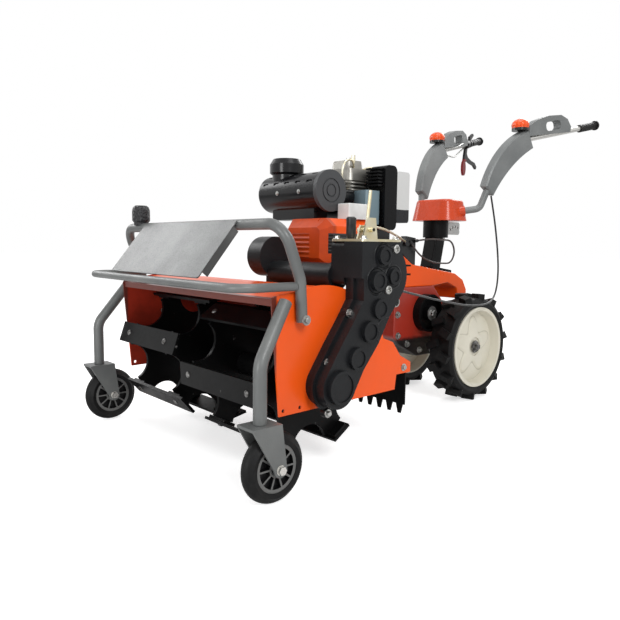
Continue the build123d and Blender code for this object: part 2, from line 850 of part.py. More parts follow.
with BuildPart() as engine_block:
    with BuildSketch(side_plane(block_right)):
        with BuildLine():
            FilletPolyline(
                (block_front, engine_base),
                (block_front, crank_top - 28),
                (block_front + 30, crank_top),
                (block_front + 130, crank_top),
                (block_front + 180, crank_top - 26),
                (block_front + 180, engine_base),
                radius=10,
                close=True,
            )
        make_face()
    extrude(amount=block_left - block_right)
    with BuildSketch(Plane.XY.offset(crank_top)):
        with Locations((bore_x, bore_y)):
            RectangleRounded(110, 110, 20)
    extrude(amount=head_bottom - crank_top)
    for fin in range(fin_count):
        with BuildSketch(Plane.XY.offset(crank_top + 4 + fin * fin_pitch)):
            with Locations((bore_x, bore_y)):
                RectangleRounded(150, 124, 16)
        extrude(amount=fin_thick)
    with BuildSketch(Plane.XY.offset(head_bottom)):
        with Locations((bore_x, bore_y)):
            RectangleRounded(126, 118, 18)
    extrude(amount=head_height, taper=6)
    with BuildSketch(Plane.XY.offset(head_bottom + head_height)):
        with Locations((bore_x - 12, bore_y + 6)):
            RectangleRounded(84, 74, 16)
    extrude(amount=30, taper=10)
    with BuildSketch(Plane.XY.offset(crank_top - 46)):
        with Locations((block_left - 6, bore_y - 24)):
            RectangleRounded(116, 60, 8)
    extrude(amount=100)
save(engine_block, "engine_block")

# Fan shroud: the painted sheet housing on the engine's front, folded in flat facets.
shroud_right = 15.0
shroud_left = 218.0
shroud_top = engine_base + 136
shroud_front = -522.0
shroud_facet = 26.0

with BuildPart() as fan_shroud:
    with BuildSketch(Plane.XZ.offset(seat_clearance - block_front)):
        Polygon(
            (shroud_right, engine_base),
            (shroud_right, shroud_top - 40),
            (shroud_right + 33, shroud_top),
            (shroud_left - 28, shroud_top),
            (shroud_left, shroud_top - 22),
            (shroud_left, engine_base),
            align=None,
        )
    extrude(amount=block_front - seat_clearance - shroud_front)
    chamfer(fan_shroud.faces().sort_by(Axis.Y)[0].edges(), shroud_facet)
save(fan_shroud, "fan_shroud")

# Control box: a small pale box on top of the shroud.
control_x = 181.0
control_size = (48.0, 80.0, 44.0)

with BuildPart() as control_box:
    with BuildSketch(Plane.XY.offset(shroud_top + seat_clearance)):
        with Locations((control_x, shroud_front + 140)):
            RectangleRounded(control_size[0], control_size[1], 4)
    extrude(amount=control_size[2])
    fillet(control_box.faces().sort_by(Axis.Z)[-1].edges(), 3)
save(control_box, "control_box")

# Air cleaner: a lying canister with louvres, a ringed end cap, a capped inlet, a saddle and the duct to
# the head.
cleaner_y = -444.0
cleaner_z = shroud_top + 80
cleaner_radius = 56.0
cleaner_left = 150.0
cleaner_right = -122.0
louvre_count = 5
louvre_pitch = 50.0
inlet_x = -45.0
duct_radius = 22.0

with BuildPart() as air_cleaner:
    with BuildSketch(side_plane(cleaner_right)):
        with Locations((cleaner_y, cleaner_z)):
            Circle(cleaner_radius)
    extrude(amount=cleaner_left - cleaner_right)
    fillet(air_cleaner.faces().sort_by(Axis.X)[0].edges(), 12)
    with BuildSketch(side_plane(cleaner_left - 12)):
        with Locations((cleaner_y, cleaner_z)):
            Circle(cleaner_radius + 3)
    extrude(amount=16)
    for outer, inner in ((0.62, 0.54), (0.34, 0.26)):
        with BuildSketch(side_plane(cleaner_left + 4)):
            with Locations((cleaner_y, cleaner_z)):
                Circle(outer * cleaner_radius)
                Circle(inner * cleaner_radius, mode=Mode.SUBTRACT)
        extrude(amount=-3, mode=Mode.SUBTRACT)
    louvre_planes = []
    for angle in (62.0, 28.0):
        for louvre in range(louvre_count):
            louvre_planes.append(Plane(
                origin=(
                    (cleaner_left + cleaner_right) / 2 + (louvre - (louvre_count - 1) / 2) * louvre_pitch,
                    cleaner_y - cleaner_radius * cos(radians(angle)),
                    cleaner_z + cleaner_radius * sin(radians(angle)),
                ),
                x_dir=(1, 0, 0),
                z_dir=(0, -cos(radians(angle)), sin(radians(angle))),
            ))
    with BuildSketch(*louvre_planes):
        SlotOverall(24, 8)
    extrude(amount=-3, mode=Mode.SUBTRACT)
    with BuildSketch(Plane.XY.offset(shroud_top + seat_clearance)):
        with Locations((inlet_x + 60, cleaner_y)):
            Rectangle(190, 52)
    extrude(amount=cleaner_z - cleaner_radius / 2 - shroud_top)
    with BuildSketch(Plane.XZ.offset(-cleaner_y)):
        with BuildLine():
            Polyline(
                (inlet_x, cleaner_z),
                (inlet_x + 44, cleaner_z),
                (inlet_x + 44, cleaner_z + 56),
                (inlet_x + 52, cleaner_z + 62),
                (inlet_x + 52, cleaner_z + 88),
                (inlet_x + 42, cleaner_z + 104),
                (inlet_x, cleaner_z + 110),
                close=True,
            )
        make_face()
    revolve(axis=Axis((inlet_x, cleaner_y, cleaner_z), (0, 0, 1)))
    with BuildSketch(Plane.XZ.offset(-cleaner_y)):
        with Locations((cleaner_left - 42, cleaner_z - 8)):
            Circle(duct_radius)
    extrude(amount=cleaner_y - bore_y + 62 + seat_clearance)
save(air_cleaner, "air_cleaner")

# Muffler: a pressed box with a rounded shell in front of it, fins on top and the pipe from the head.
muffler_right = block_left + seat_clearance
muffler_left = 185.0
shell_front = -251.0
shell_rear = -196.0
muffler_rear = -137.0

with BuildPart() as muffler:
    for front, rear, bottom, top, radius, inset in (
        (shell_front, shell_rear, engine_base + 110, engine_base + 304, 18.0, 0.0),
        (shell_rear - 1, muffler_rear, engine_base + 134, engine_base + 289, 10.0, 3.0),
    ):
        with BuildSketch(side_plane(muffler_right + inset)):
            with Locations(((front + rear) / 2, (bottom + top) / 2)):
                RectangleRounded(rear - front, top - bottom, radius)
        extrude(amount=muffler_left - muffler_right - inset)
    for rib in range(6):
        with BuildSketch(Plane.XY.offset(engine_base + 240 + 10 * rib)):
            with Locations(((muffler_right + muffler_left) / 2, shell_front - 10)):
                Rectangle(muffler_left - muffler_right - 14, 28)
        extrude(amount=5)
    with BuildSketch(side_plane(bore_x + 63)):
        with Locations((shell_rear - 30, head_bottom + 18)):
            Circle(14)
    extrude(amount=muffler_right - bore_x - 60)
save(muffler, "muffler")

# Shift linkage: a cast stand in front of the column with the lever's pivots, and the stop of its cable.
linkage_x = 46.0
linkage_front = -12.0
linkage_rear = 64.0
# Ferrules of the throttle cable: its end, the way from it into the stand, and length
ferrules = (
    ((linkage_x + 20, linkage_front + 42, gearbox_top + 151), (-1.0, -30.0, 30.0), 14.0),
    ((linkage_x + 20, linkage_front + 74, gearbox_top + 163), (-2.0, -50.0, -6.0), 18.0),
)
ferrule_radius = 5.5

with BuildPart() as shift_linkage:
    with BuildSketch(Plane(origin=(linkage_x - 14, 0, 0), x_dir=(0, 1, 0), z_dir=(1, 0, 0))):
        Polygon(
            (linkage_front, gearbox_top + 121),
            (linkage_front, gearbox_top + 148),
            (linkage_front + 26, gearbox_top + 178),
            (linkage_rear, gearbox_top + 172),
            (linkage_rear, gearbox_top + 76),
            (linkage_rear - 16, gearbox_top + 78),
            (linkage_rear - 16, gearbox_top + 79.2),
            align=None,
        )
    extrude(amount=24)
    for y, z, radius, depth in ((linkage_front + 20, gearbox_top + 156, 13.0, 34.0),
                                (linkage_rear - 20, gearbox_top + 150, 10.0, 30.0)):
        with BuildSketch(side_plane(linkage_x - 14)):
            with Locations((y, z)):
                Circle(radius)
        extrude(amount=depth)
    for end, inward, length in ferrules:
        with BuildSketch(Plane(origin=end, z_dir=inward)):
            Circle(ferrule_radius)
        extrude(amount=length)
    with BuildSketch(side_plane(0)):
        Polygon(*[(y, z + seat_clearance) for y, z in cover_points[:5]],
                (cover_points[4][0], gearbox_top - 30),
                (cover_points[0][0], gearbox_top - 30), align=None)
    extrude(amount=2 * gearbox_half, both=True, mode=Mode.SUBTRACT)
save(shift_linkage, "shift_linkage")

# Handle column: a leaning square tube on the gearbox cover with the round swivel hub on top, and the
# quadrant plate for the height of the bars.
column_foot = (0.0, 218.0, gearbox_top + 33)
column_head = (0.0, hub_y, hub_bottom)
column_way = (0, column_head[1] - column_foot[1], column_head[2] - column_foot[2])
pivot_radius = 12.0
pivot_height = 34.0
quadrant_thick = 5.0
quadrant_holes = 5

with BuildPart() as handle_column:
    with BuildSketch(Plane(origin=column_foot, x_dir=(1, 0, 0), z_dir=column_way)):
        RectangleRounded(column_size, column_size, 6)
    extrude(amount=hypot(*column_way[1:]))
    with BuildSketch(side_plane(0)):
        Polygon((176, gearbox_top + 56), (292, gearbox_top + 30), (292, gearbox_top + 55),
                (176, gearbox_top + 71),
                align=None)
    extrude(amount=gearbox_half - 8, both=True)
    with BuildSketch(Plane.XY.offset(hub_bottom - 8)):
        with Locations((0, hub_y)):
            Circle(hub_radius)
    extrude(amount=hub_top - hub_bottom + 8)
    with BuildSketch(Plane.XY.offset(hub_top)):
        with Locations((0, hub_y)):
            Circle(pivot_radius)
    extrude(amount=pivot_height)
    with BuildSketch(side_plane(28)):
        with Locations((hub_y + 62, hub_top - 27)):
            RectangleRounded(90, 48, 10)
        for hole in range(quadrant_holes):
            with Locations((hub_y + 62 + 16 * (hole - 1), hub_top - 20 - 3 * (hole - 2) ** 2)):
                Circle(4.5, mode=Mode.SUBTRACT)
    extrude(amount=quadrant_thick)
    with BuildSketch(side_plane(0)):
        Polygon(
            cover_points[3],
            cover_points[4],
            (cover_points[4][0], gearbox_top - 40),
            (cover_points[3][0], gearbox_top - 40),
            align=None,
        )
    extrude(amount=column_size, both=True, mode=Mode.SUBTRACT)
save(handle_column, "handle_column")

# Hub cover: a rounded lid over the swivel with a socket for each bar.
cover_half = 96.0
cover_depth = 148.0
cover_height = 78.0
socket_length = 56.0
# The left bar's route from the hub cover to its grip; the right bar mirrors it.
bar_route = (
    (94.0, 300.0, 692.0),
    (134.0, 334.0, 700.0),
    (150.0, 352.0, 765.0),
    (172.0, 425.0, 885.0),
    (197.0, 545.0, 970.0),
    (262.0, 880.0, 1050.0),
)

with BuildPart() as hub_cover:
    with BuildSketch(Plane.XY.offset(hub_top + seat_clearance)):
        with Locations((0, hub_y + 20)):
            RectangleRounded(2 * cover_half, cover_depth, 50)
    extrude(amount=cover_height, taper=12)
    fillet(hub_cover.faces().sort_by(Axis.Z)[-1].edges(), 12)
    for side, way in sides:
        bar_start = Vector(way * bar_route[0][0], *bar_route[0][1:])
        bar_way = (Vector(way * bar_route[1][0], *bar_route[1][1:]) - bar_start).normalized()
        with BuildSketch(Plane(origin=bar_start - bar_way * socket_length, z_dir=bar_way)):
            Circle(bar_radius + 6)
        extrude(amount=socket_length)
    with BuildSketch(Plane.XY.offset(hub_top)):
        with Locations((0, hub_y)):
            Circle(pivot_radius + running_clearance)
    extrude(amount=pivot_height + 1, mode=Mode.SUBTRACT)
save(hub_cover, "hub_cover")

# Handlebars: a bent tube on each side under a pressed cover, then a plain bar with a hand guard, a lamp
# and a grip.
sleeve_thick = 36.0
sleeve_half = (29.0, 42.0, 38.0)
hand_radius = 10.0
grip_radius = 15.0
grip_length = 100.0
guard_thick = 34.0
# Guard outline above the bar: distance along the bar from its cover, height over the cover's end
guard_outline = ((-13.0, 8.0), (-13.0, 46.0), (34.0, 74.0), (97.0, 96.0), (167.0, 107.0), (206.0, 96.0),
                 (230.0, 68.0), (226.0, 48.0))

for side, way in sides:
    bar_points = [Vector(way * x, y, z) for x, y, z in bar_route]
    low, middle, high, tip = bar_points[2:]
    sleeve_plane = Plane(origin=low, x_dir=high - low, z_dir=(high - low).cross(middle - low))
    line = [sleeve_plane.to_local_coords(point) for point in (low, middle, high)]
    runs = [(line[1] - line[0]).normalized(), (line[2] - line[0]).normalized(),
            (line[2] - line[1]).normalized()]
    edges = [(Vector(-run.Y, run.X), point, half) for run, point, half in zip(runs, line, sleeve_half)]
    with BuildPart() as handlebar:
        with BuildSketch(sleeve_plane):
            with BuildLine():
                upper = [point + normal * half for normal, point, half in edges]
                lower = [point - normal * half for normal, point, half in edges]
                ThreePointArc(*upper)
                Line(upper[2], lower[2])
                ThreePointArc(*reversed(lower))
                Line(lower[0], upper[0])
            make_face()
        extrude(amount=sleeve_thick / 2, both=True)
        chamfer(handlebar.faces().filter_by(sleeve_plane).edges(), 5)
        with BuildLine():
            FilletPolyline(*bar_points[:5], radius=26)
        with BuildSketch(Plane(origin=bar_points[0], z_dir=bar_points[1] - bar_points[0])):
            Circle(bar_radius)
        sweep()
        hand_way = (tip - high).normalized()
        with BuildSketch(Plane(origin=high, z_dir=hand_way)):
            Circle(hand_radius)
        extrude(amount=(tip - high).length)
        run_flat = Vector(tip.X - high.X, tip.Y - high.Y, 0)
        guard_plane = Plane(origin=high, x_dir=run_flat, z_dir=run_flat.cross(Vector(0, 0, 1)))
        with BuildSketch(guard_plane):
            Polygon(*guard_outline, align=None)
            with Locations((124, 62)):
                with Locations(Location((0, 0, 0), (0, 0, 13))):
                    RectangleRounded(86, 34, 14, mode=Mode.SUBTRACT)
        extrude(amount=guard_thick / 2, both=True)
    save(handlebar, f"handlebar_{side}")
    with BuildPart() as grip:
        with BuildSketch(Plane(origin=tip - hand_way * 40, z_dir=hand_way)):
            Circle(grip_radius)
            Circle(hand_radius + running_clearance, mode=Mode.SUBTRACT)
        extrude(amount=40)
        with BuildSketch(Plane(origin=tip, z_dir=hand_way)):
            Circle(grip_radius)
        extrude(amount=grip_length - 40)
        with BuildSketch(Plane(origin=tip + hand_way * (grip_length - 40), z_dir=hand_way)):
            Circle(grip_radius + 4)
        extrude(amount=6)
    save(grip, f"grip_{side}")

# Bar lamps: a small moulded shell on the end of each pressed cover.
lamp_size = (66.0, 60.0)
lamp_height = 34.0
lamp_rise = 32.6
lamp_back = 48.0

with BuildPart() as bar_lamps:
    for side, way in sides:
        with BuildSketch(Plane.XY.offset(bar_route[4][2] + lamp_rise)):
            with Locations((way * (bar_route[4][0] - 6), bar_route[4][1] - lamp_back)):
                RectangleRounded(*lamp_size, 22)
        extrude(amount=lamp_height, taper=16)
    fillet(bar_lamps.faces().sort_by(Axis.Z)[-2:].edges(), 6)
save(bar_lamps, "bar_lamps")

# Hand levers: the clutch lever with its paddle and the small thumb lever, clamped on the right bar.
lever_thick = 10.0
lever_start = Vector(-bar_route[4][0], *bar_route[4][1:])
lever_end = Vector(-bar_route[5][0], *bar_route[5][1:])
lever_way = (lever_end - lever_start).normalized()
lever_flat = Vector(lever_end.X - lever_start.X, lever_end.Y - lever_start.Y, 0)
# Outlines in the bar's upright plane: distance along the bar from its cover, height over the cover's end
clutch_lever = ((236.0, 44.0), (256.0, 46.0), (250.0, 16.0), (264.0, 2.0), (300.0, -8.0), (345.0, -14.0),
                (368.0, -30.0), (362.0, -42.0), (335.0, -28.0), (290.0, -22.0), (246.0, -12.0),
                (236.0, -26.0),
                (220.0, -26.0), (228.0, 14.0))
thumb_lever = ((277.0, 76.0), (290.0, 82.0), (322.0, 109.0), (314.0, 117.0), (279.0, 98.0))
# Clamps: distance along the bar, length, radius
lever_clamps = ((241.0, 28.0, 19.0), (284.0, 14.0, 17.0))

with BuildPart() as hand_levers:
    for distance, length, radius in lever_clamps:
        with BuildSketch(Plane(origin=lever_start + lever_way * distance, z_dir=lever_way)):
            Circle(radius)
        extrude(amount=length)
    with BuildSketch(Plane(origin=lever_start, x_dir=lever_flat, z_dir=lever_flat.cross(Vector(0, 0, 1)))):
        Polygon(*clutch_lever, align=None)
        Polygon(*thumb_lever, align=None)
        with Locations((226, -50)):
            Ellipse(17, 34)
    extrude(amount=lever_thick / 2, both=True)
    with BuildSketch(Plane(origin=lever_start, z_dir=lever_way)):
        Circle(hand_radius + running_clearance)
    extrude(amount=(lever_end - lever_start).length, mode=Mode.SUBTRACT)
save(hand_levers, "hand_levers")

# Cables: points of each one's route; every corner gets the largest arc that its two runs allow.
cable_radius = 3.25
# From the left bar's pressed cover down and forward to the gear case
control_route = (
    (157.0, 372.0, 748.0), (161.0, 391.0, 679.0), (166.0, 404.0, 608.0), (172.0, 411.0, 537.0),
    (182.0, 404.0, 467.0), (199.0, 370.0, 406.0), (222.0, 312.0, 372.0), (243.0, 244.0, 360.0),
    (258.0, 174.0, 359.0), (269.0, 104.0, 363.0), (280.0, 33.0, 370.0), (293.0, -37.0, 380.0),
    (307.0, -107.0, 391.0), (322.0, -177.0, 402.0), (337.0, -246.0, 414.0), (354.0, -315.0, 426.0),
    (372.0, -383.0, 438.0), stop_end,
)
# A loop from the shift linkage round the column and back
throttle_route = (
    ferrules[0][0], (67.0, 60.0, 536.0), (69.0, 105.0, 512.0), (71.0, 155.0, 500.0), (72.0, 204.0, 497.0),
    (73.0, 254.0, 497.0), (73.0, 278.5, 539.0), (73.0, 254.0, 581.0), (72.0, 206.0, 583.0),
    (71.0, 160.0, 585.0), (68.0, 112.0, 584.0), ferrules[1][0],
)

for name, route in (("control_cable", control_route), ("throttle_cable", throttle_route)):
    points = [Vector(*point) for point in route]
    radii = []
    for before, corner, after in zip(points, points[1:], points[2:]):
        turn = radians((corner - before).get_angle(after - corner))
        radii.append(0.45 * min((corner - before).length, (after - corner).length) / tan(turn / 2))
    with BuildPart() as cable:
        with BuildLine() as path:
            FilletPolyline(*points, radius=radii)
        with BuildSketch(Plane(origin=points[0], z_dir=points[1] - points[0])):
            Circle(cable_radius)
        sweep()
    length = sum(edge.length for edge in path.edges())
    print(name, "length", round(length), "smallest radius", round(min(radii)),
          "volume over section times length",
          round(cable.part.volume / (pi * cable_radius ** 2 * length), 4))
    save(cable, name)
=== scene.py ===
"""Looks of a walk-behind power tiller: paint, rubber, castings and small fittings round the fixed frame.

Metres. +Z is up and z = 0 is the ground. The machine faces -Y; +X is its left, the side of the gear case.
"""

import json
from math import atan2, cos, hypot, pi, radians, sin

import bmesh
import bpy
from mathutils import Matrix, Vector


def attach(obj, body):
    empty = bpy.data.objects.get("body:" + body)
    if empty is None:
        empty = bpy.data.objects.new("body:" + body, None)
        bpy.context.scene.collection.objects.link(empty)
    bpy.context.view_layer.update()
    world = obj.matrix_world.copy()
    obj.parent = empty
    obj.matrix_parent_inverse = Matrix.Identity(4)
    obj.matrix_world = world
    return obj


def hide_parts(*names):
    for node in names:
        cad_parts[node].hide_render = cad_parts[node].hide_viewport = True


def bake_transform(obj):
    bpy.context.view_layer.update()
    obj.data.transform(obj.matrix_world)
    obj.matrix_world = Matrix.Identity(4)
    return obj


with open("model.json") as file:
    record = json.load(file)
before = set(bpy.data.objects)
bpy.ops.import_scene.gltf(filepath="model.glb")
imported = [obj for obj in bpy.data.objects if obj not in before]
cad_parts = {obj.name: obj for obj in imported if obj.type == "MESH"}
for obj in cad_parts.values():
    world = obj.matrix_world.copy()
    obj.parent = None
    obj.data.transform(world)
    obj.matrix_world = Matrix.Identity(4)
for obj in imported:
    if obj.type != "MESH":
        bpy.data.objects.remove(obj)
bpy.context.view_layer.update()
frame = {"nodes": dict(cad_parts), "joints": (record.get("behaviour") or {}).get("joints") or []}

# Camera: at the photograph's place, left of the machine's nose and a little above the hood, looking
# back along the machine. Its place, aim and focal length were fitted to the wheels, plates and tubes.
stand = Vector((1.4096, -1.638, 0.556))
heading, dip, lean = radians(48.3), radians(6.1), radians(0.7)
focal_px, picture_px = 602.5, 620
ahead = Vector((-sin(heading) * cos(dip), cos(heading) * cos(dip), -sin(dip)))
level = Vector((cos(heading), sin(heading), 0))
above = level.cross(ahead)
across = level * cos(lean) + above * sin(lean)
upward = above * cos(lean) - level * sin(lean)
lens = bpy.data.cameras.new("camera")
lens.sensor_width = 36
lens.lens = lens.sensor_width * focal_px / picture_px
lens.clip_start, lens.clip_end = 0.05, 80
camera = bpy.data.objects.new("camera", lens)
turned_to = Matrix((across, upward, -ahead)).transposed().to_4x4()
camera.matrix_world = Matrix.Translation(stand) @ turned_to
bpy.context.collection.objects.link(camera)
bpy.context.scene.camera = camera
bpy.context.scene.view_settings.view_transform = "Standard"


# Cables: a black jacketed control cable from the left bar's cover down past the wheel to its stop on the
# gear case, and a brown throttle cable that loops from the shift linkage past the column and back.
class Finish:
    """One socket of a material: arithmetic on it adds Math nodes, and node() adds any other kind."""

    def __init__(self, tree, socket=None):
        self.tree, self.socket = tree, socket

    def node(self, kind, settings=None, inputs=None, out=0):
        """One output of a new node, whose settings go in before its values and links."""
        made = self.tree.nodes.new("ShaderNode" + kind)
        for name, value in (settings or {}).items():
            setattr(made, name, value)
        for name, value in (inputs or {}).items():
            if isinstance(value, Finish):
                self.tree.links.new(value.socket, made.inputs[name])
            else:
                made.inputs[name].default_value = value
        return Finish(self.tree, made.outputs[out])

    def maths(self, operation, first, second=0.0):
        return self.node("Math", {"operation": operation}, {0: first, 1: second})

    def __add__(self, other):
        return self.maths("ADD", self, other)

    def __radd__(self, other):
        return self.maths("ADD", other, self)

    def __sub__(self, other):
        return self.maths("SUBTRACT", self, other)

    def __rsub__(self, other):
        return self.maths("SUBTRACT", other, self)

    def __mul__(self, other):
        return self.maths("MULTIPLY", self, other)

    def __rmul__(self, other):
        return self.maths("MULTIPLY", other, self)

    def __gt__(self, other):
        return self.maths("GREATER_THAN", self, other)

    def __lt__(self, other):
        return self.maths("LESS_THAN", self, other)

    def size(self):
        """The number without its sign."""
        return self.maths("ABSOLUTE", self)

    def sine(self):
        return self.maths("SINE", self)

    def within(self, low, high):
        """1 between low and high, and 0 outside them."""
        return (self > low) * (self < high)

    def clip(self, low, high):
        """0 below low, 1 above high and a smooth rise between them."""
        return self.node("MapRange", {"interpolation_type": "SMOOTHSTEP"},
                         {0: self, 1: low, 2: high, 3: 0.0, 4: 1.0})

    def parts(self):
        """The x, y and z of a vector."""
        return [self.node("SeparateXYZ", None, {0: self}, out) for out in range(3)]

    def length(self):
        """The length of a vector."""
        return self.node("VectorMath", {"operation": "LENGTH"}, {0: self}, "Value")

    def tint(self, share, first, second):
        """The colour first where share is 0 and second where it is 1."""
        first = first if isinstance(first, Finish) else (*first, 1)
        second = second if isinstance(second, Finish) else (*second, 1)
        return self.node("Mix", {"data_type": "RGBA"}, {0: share, 6: first, 7: second}, 2)

    def place(self):
        return self.node("TexCoord", out="Object")

    def off_axle(self, axle_y, axle_z):
        """Distance from an axle that lies along X."""
        x, y, z = self.place().parts()
        return self.node("CombineXYZ", None, {1: y - axle_y, 2: z - axle_z}).length()

    def noise(self, scale, detail=3.0, rough=0.5):
        return self.node("TexNoise", None, {"Vector": self.place(), "Scale": scale, "Detail": detail,
                                            "Roughness": rough})

    def relief(self, height, strength, depth=0.001):
        """A normal bent by a height."""
        return self.node("Bump", None, {"Strength": strength, "Distance": depth, "Height": height})


def finish(name):
    """A new material, its Principled shader and a Finish to build its nodes on."""
    material = bpy.data.materials.new(name)
    material.use_nodes = True
    shader = material.node_tree.nodes["Principled BSDF"]
    return material, shader, Finish(material.node_tree)


def feed(shader, sockets):
    for name, value in sockets.items():
        if isinstance(value, Finish):
            value.tree.links.new(value.socket, shader.inputs[name])
        elif name == "Base Color":
            shader.inputs[name].default_value = (*value, 1)
        else:
            shader.inputs[name].default_value = value


def jacket(name, tone, worn, gloss):
    """Extruded plastic over a cable."""
    material, shader, mix = finish(name)
    feed(shader, {
        "Base Color": mix.tint(mix.noise(30).clip(0.4, 0.7), tone, worn),
        "Roughness": gloss + mix.noise(60) * 0.2,
        "Specular IOR Level": 0.35,
    })
    return material


def tube(name, points, radius):
    """The mesh of a round tube along a NURBS spline of these points, and the points that it follows."""
    route = bpy.data.curves.new(name, "CURVE")
    route.dimensions = "3D"
    line = route.splines.new("NURBS")
    line.points.add(len(points) - 1)
    for control, point in zip(line.points, points):
        control.co = (*point, 1)
    line.order_u = 3
    line.use_endpoint_u = True
    line.resolution_u = 8
    carrier = bpy.data.objects.new(name, route)
    path = [tuple(vertex.co) for vertex in bpy.data.meshes.new_from_object(carrier).vertices]
    route.bevel_depth, route.bevel_resolution, route.use_fill_caps = radius, 3, True
    data = bpy.data.meshes.new_from_object(carrier)
    bpy.data.objects.remove(carrier)
    data.shade_smooth()
    data.set_sharp_from_angle(angle=radians(40))
    return data, path


def fit(name, data, material, body=None):
    """An object of a finished mesh with its material, riding on one body if that is given."""
    data.materials.clear()
    data.materials.append(material)
    piece = bpy.data.objects.new(name, data)
    bpy.context.collection.objects.link(piece)
    if body:
        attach(piece, body)
    return piece


cable_radius = 0.00325
control_route = (
    (0.157, 0.372, 0.748), (0.161, 0.391, 0.679), (0.166, 0.404, 0.608), (0.172, 0.411, 0.537),
    (0.182, 0.404, 0.467), (0.199, 0.370, 0.406), (0.222, 0.312, 0.372), (0.243, 0.244, 0.360),
    (0.258, 0.174, 0.359), (0.269, 0.104, 0.363), (0.280, 0.033, 0.370), (0.293, -0.037, 0.380),
    (0.307, -0.107, 0.391), (0.322, -0.177, 0.402), (0.337, -0.246, 0.414), (0.354, -0.315, 0.426),
    (0.372, -0.383, 0.438), (0.390, -0.452, 0.447),
)
throttle_route = (
    (0.066, 0.030, 0.566), (0.067, 0.060, 0.536), (0.069, 0.105, 0.512), (0.071, 0.155, 0.500),
    (0.072, 0.204, 0.497), (0.073, 0.254, 0.497), (0.073, 0.2785, 0.539), (0.073, 0.254, 0.581),
    (0.072, 0.206, 0.583), (0.071, 0.160, 0.585), (0.068, 0.112, 0.584), (0.066, 0.062, 0.578),
)
black_jacket = jacket("cable_jacket", (0.010, 0.010, 0.011), (0.020, 0.020, 0.020), 0.30)
data, path = tube("control_line", control_route, cable_radius)
control_line = fit("control_line", data, black_jacket)
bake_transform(control_line)
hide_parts("control_cable")

brown_jacket = jacket("brown_jacket", (0.045, 0.035, 0.034), (0.075, 0.060, 0.056), 0.35)
data, path = tube("throttle_line", throttle_route, cable_radius)
throttle_line = fit("throttle_line", data, brown_jacket, "chassis")
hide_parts("throttle_cable")


# Studio: a plain pale floor that runs out to an even white sky, and large soft lamps. What the camera
# and mirrors see of the sky is white, and the light that it casts is lower.
def moulded(name, mesh, sharp=None):
    """The mesh data of a finished bmesh, smooth but for edges of more than so many degrees."""
    data = bpy.data.meshes.new(name)
    mesh.to_mesh(data)
    mesh.free()
    if sharp:
        data.shade_smooth()
        data.set_sharp_from_angle(angle=radians(sharp))
    return data


mesh = bmesh.new()
bmesh.ops.create_grid(mesh, x_segments=1, y_segments=1, size=30)
floor = bpy.data.objects.new("floor", moulded("floor", mesh))
bpy.context.collection.objects.link(floor)
material, shader, mix = finish("studio_floor")
seen = mix.node("LightPath", out="Is Camera Ray")
feed(shader, {
    "Base Color": (0.80, 0.80, 0.80),
    "Roughness": 0.9,
    "Specular IOR Level": 0.1,
    "Emission Color": mix.tint(seen, (0, 0, 0), (0.6, 0.6, 0.6)),
    "Emission Strength": 1.0,
})
floor.data.materials.append(material)

sky = bpy.data.worlds.new("studio")
sky.use_nodes = True
mix = Finish(sky.node_tree)
seen = (mix.node("LightPath", out="Is Camera Ray") + mix.node("LightPath", out="Is Glossy Ray")
        + mix.node("LightPath", out="Is Transmission Ray"))
sky.node_tree.nodes["Background"].inputs["Color"].default_value = (1.0, 1.0, 1.0, 1)
feed(sky.node_tree.nodes["Background"], {"Strength": 0.55 + 0.45 * seen.clip(0.0, 1.0)})
bpy.context.scene.world = sky

# Lamp: place, aim, width, watts
for name, spot, aim, width, watts in (
    ("key", (3.0, -1.5, 2.3), (0, -0.2, 0.4), 1.3, 62),
    ("front", (0.7, -3.4, 0.8), (0, -0.6, 0.3), 1.1, 30),
    ("far", (-2.8, -1.2, 2.0), (0, 0, 0.4), 1.4, 26),
    ("rear", (-0.4, 3.0, 2.4), (0, 0, 0.5), 1.6, 34),
    ("top", (0.2, 0.0, 3.2), (0, 0, 0), 1.6, 26),
):
    light = bpy.data.lights.new(name, "AREA")
    light.shape, light.size, light.energy = "DISK", width, watts
    lamp = bpy.data.objects.new(name, light)
    lamp.location = spot
    lamp.rotation_euler = (Vector(aim) - Vector(spot)).to_track_quat("-Z", "Y").to_euler()
    bpy.context.collection.objects.link(lamp)


# Deck: laser-cut side plates and a bent hood in glossy orange enamel. Faces turned towards the rotor are
# a darker, rougher red, and the hood's front lip is painted dark brown as shade. Zinc-plated hexagon bolts,
# put in after painting, hold the hoop's feet, the comb and the rotor's bearing flange.
def wear(material, *node_names):
    """Give CAD nodes a finish."""
    for name in node_names:
        obj = frame["nodes"][name]
        obj.data.materials.clear()
        obj.data.materials.append(material)


def facing(spot, way):
    """The matrix that turns +Z to a way and moves the origin to a spot."""
    return Matrix.Translation(spot) @ Vector(way).to_track_quat("Z", "Y").to_matrix().to_4x4()


def hexagon(mesh, spot, way, flats, height):
    """A hexagon head with a chamfered top, on a round washer."""
    seat = facing(spot, way)
    washer = 0.15 * flats
    bmesh.ops.create_cone(mesh, cap_ends=True, segments=24, radius1=0.95 * flats, radius2=0.9 * flats,
                          depth=washer, matrix=seat @ Matrix.Translation((0, 0, washer / 2)))
    head = bmesh.ops.create_cone(mesh, cap_ends=True, segments=6, radius1=0.577 * flats,
                                 radius2=0.577 * flats, depth=height,
                                 matrix=seat @ Matrix.Translation((0, 0, washer + height / 2)))
    top = max({face for vertex in head["verts"] for face in vertex.link_faces},
              key=lambda face: face.calc_center_median().dot(Vector(way).normalized()))
    bmesh.ops.bevel(mesh, geom=list(top.edges), offset=0.08 * flats, affect="EDGES", segments=1,
                    profile=0.5, material=-1)


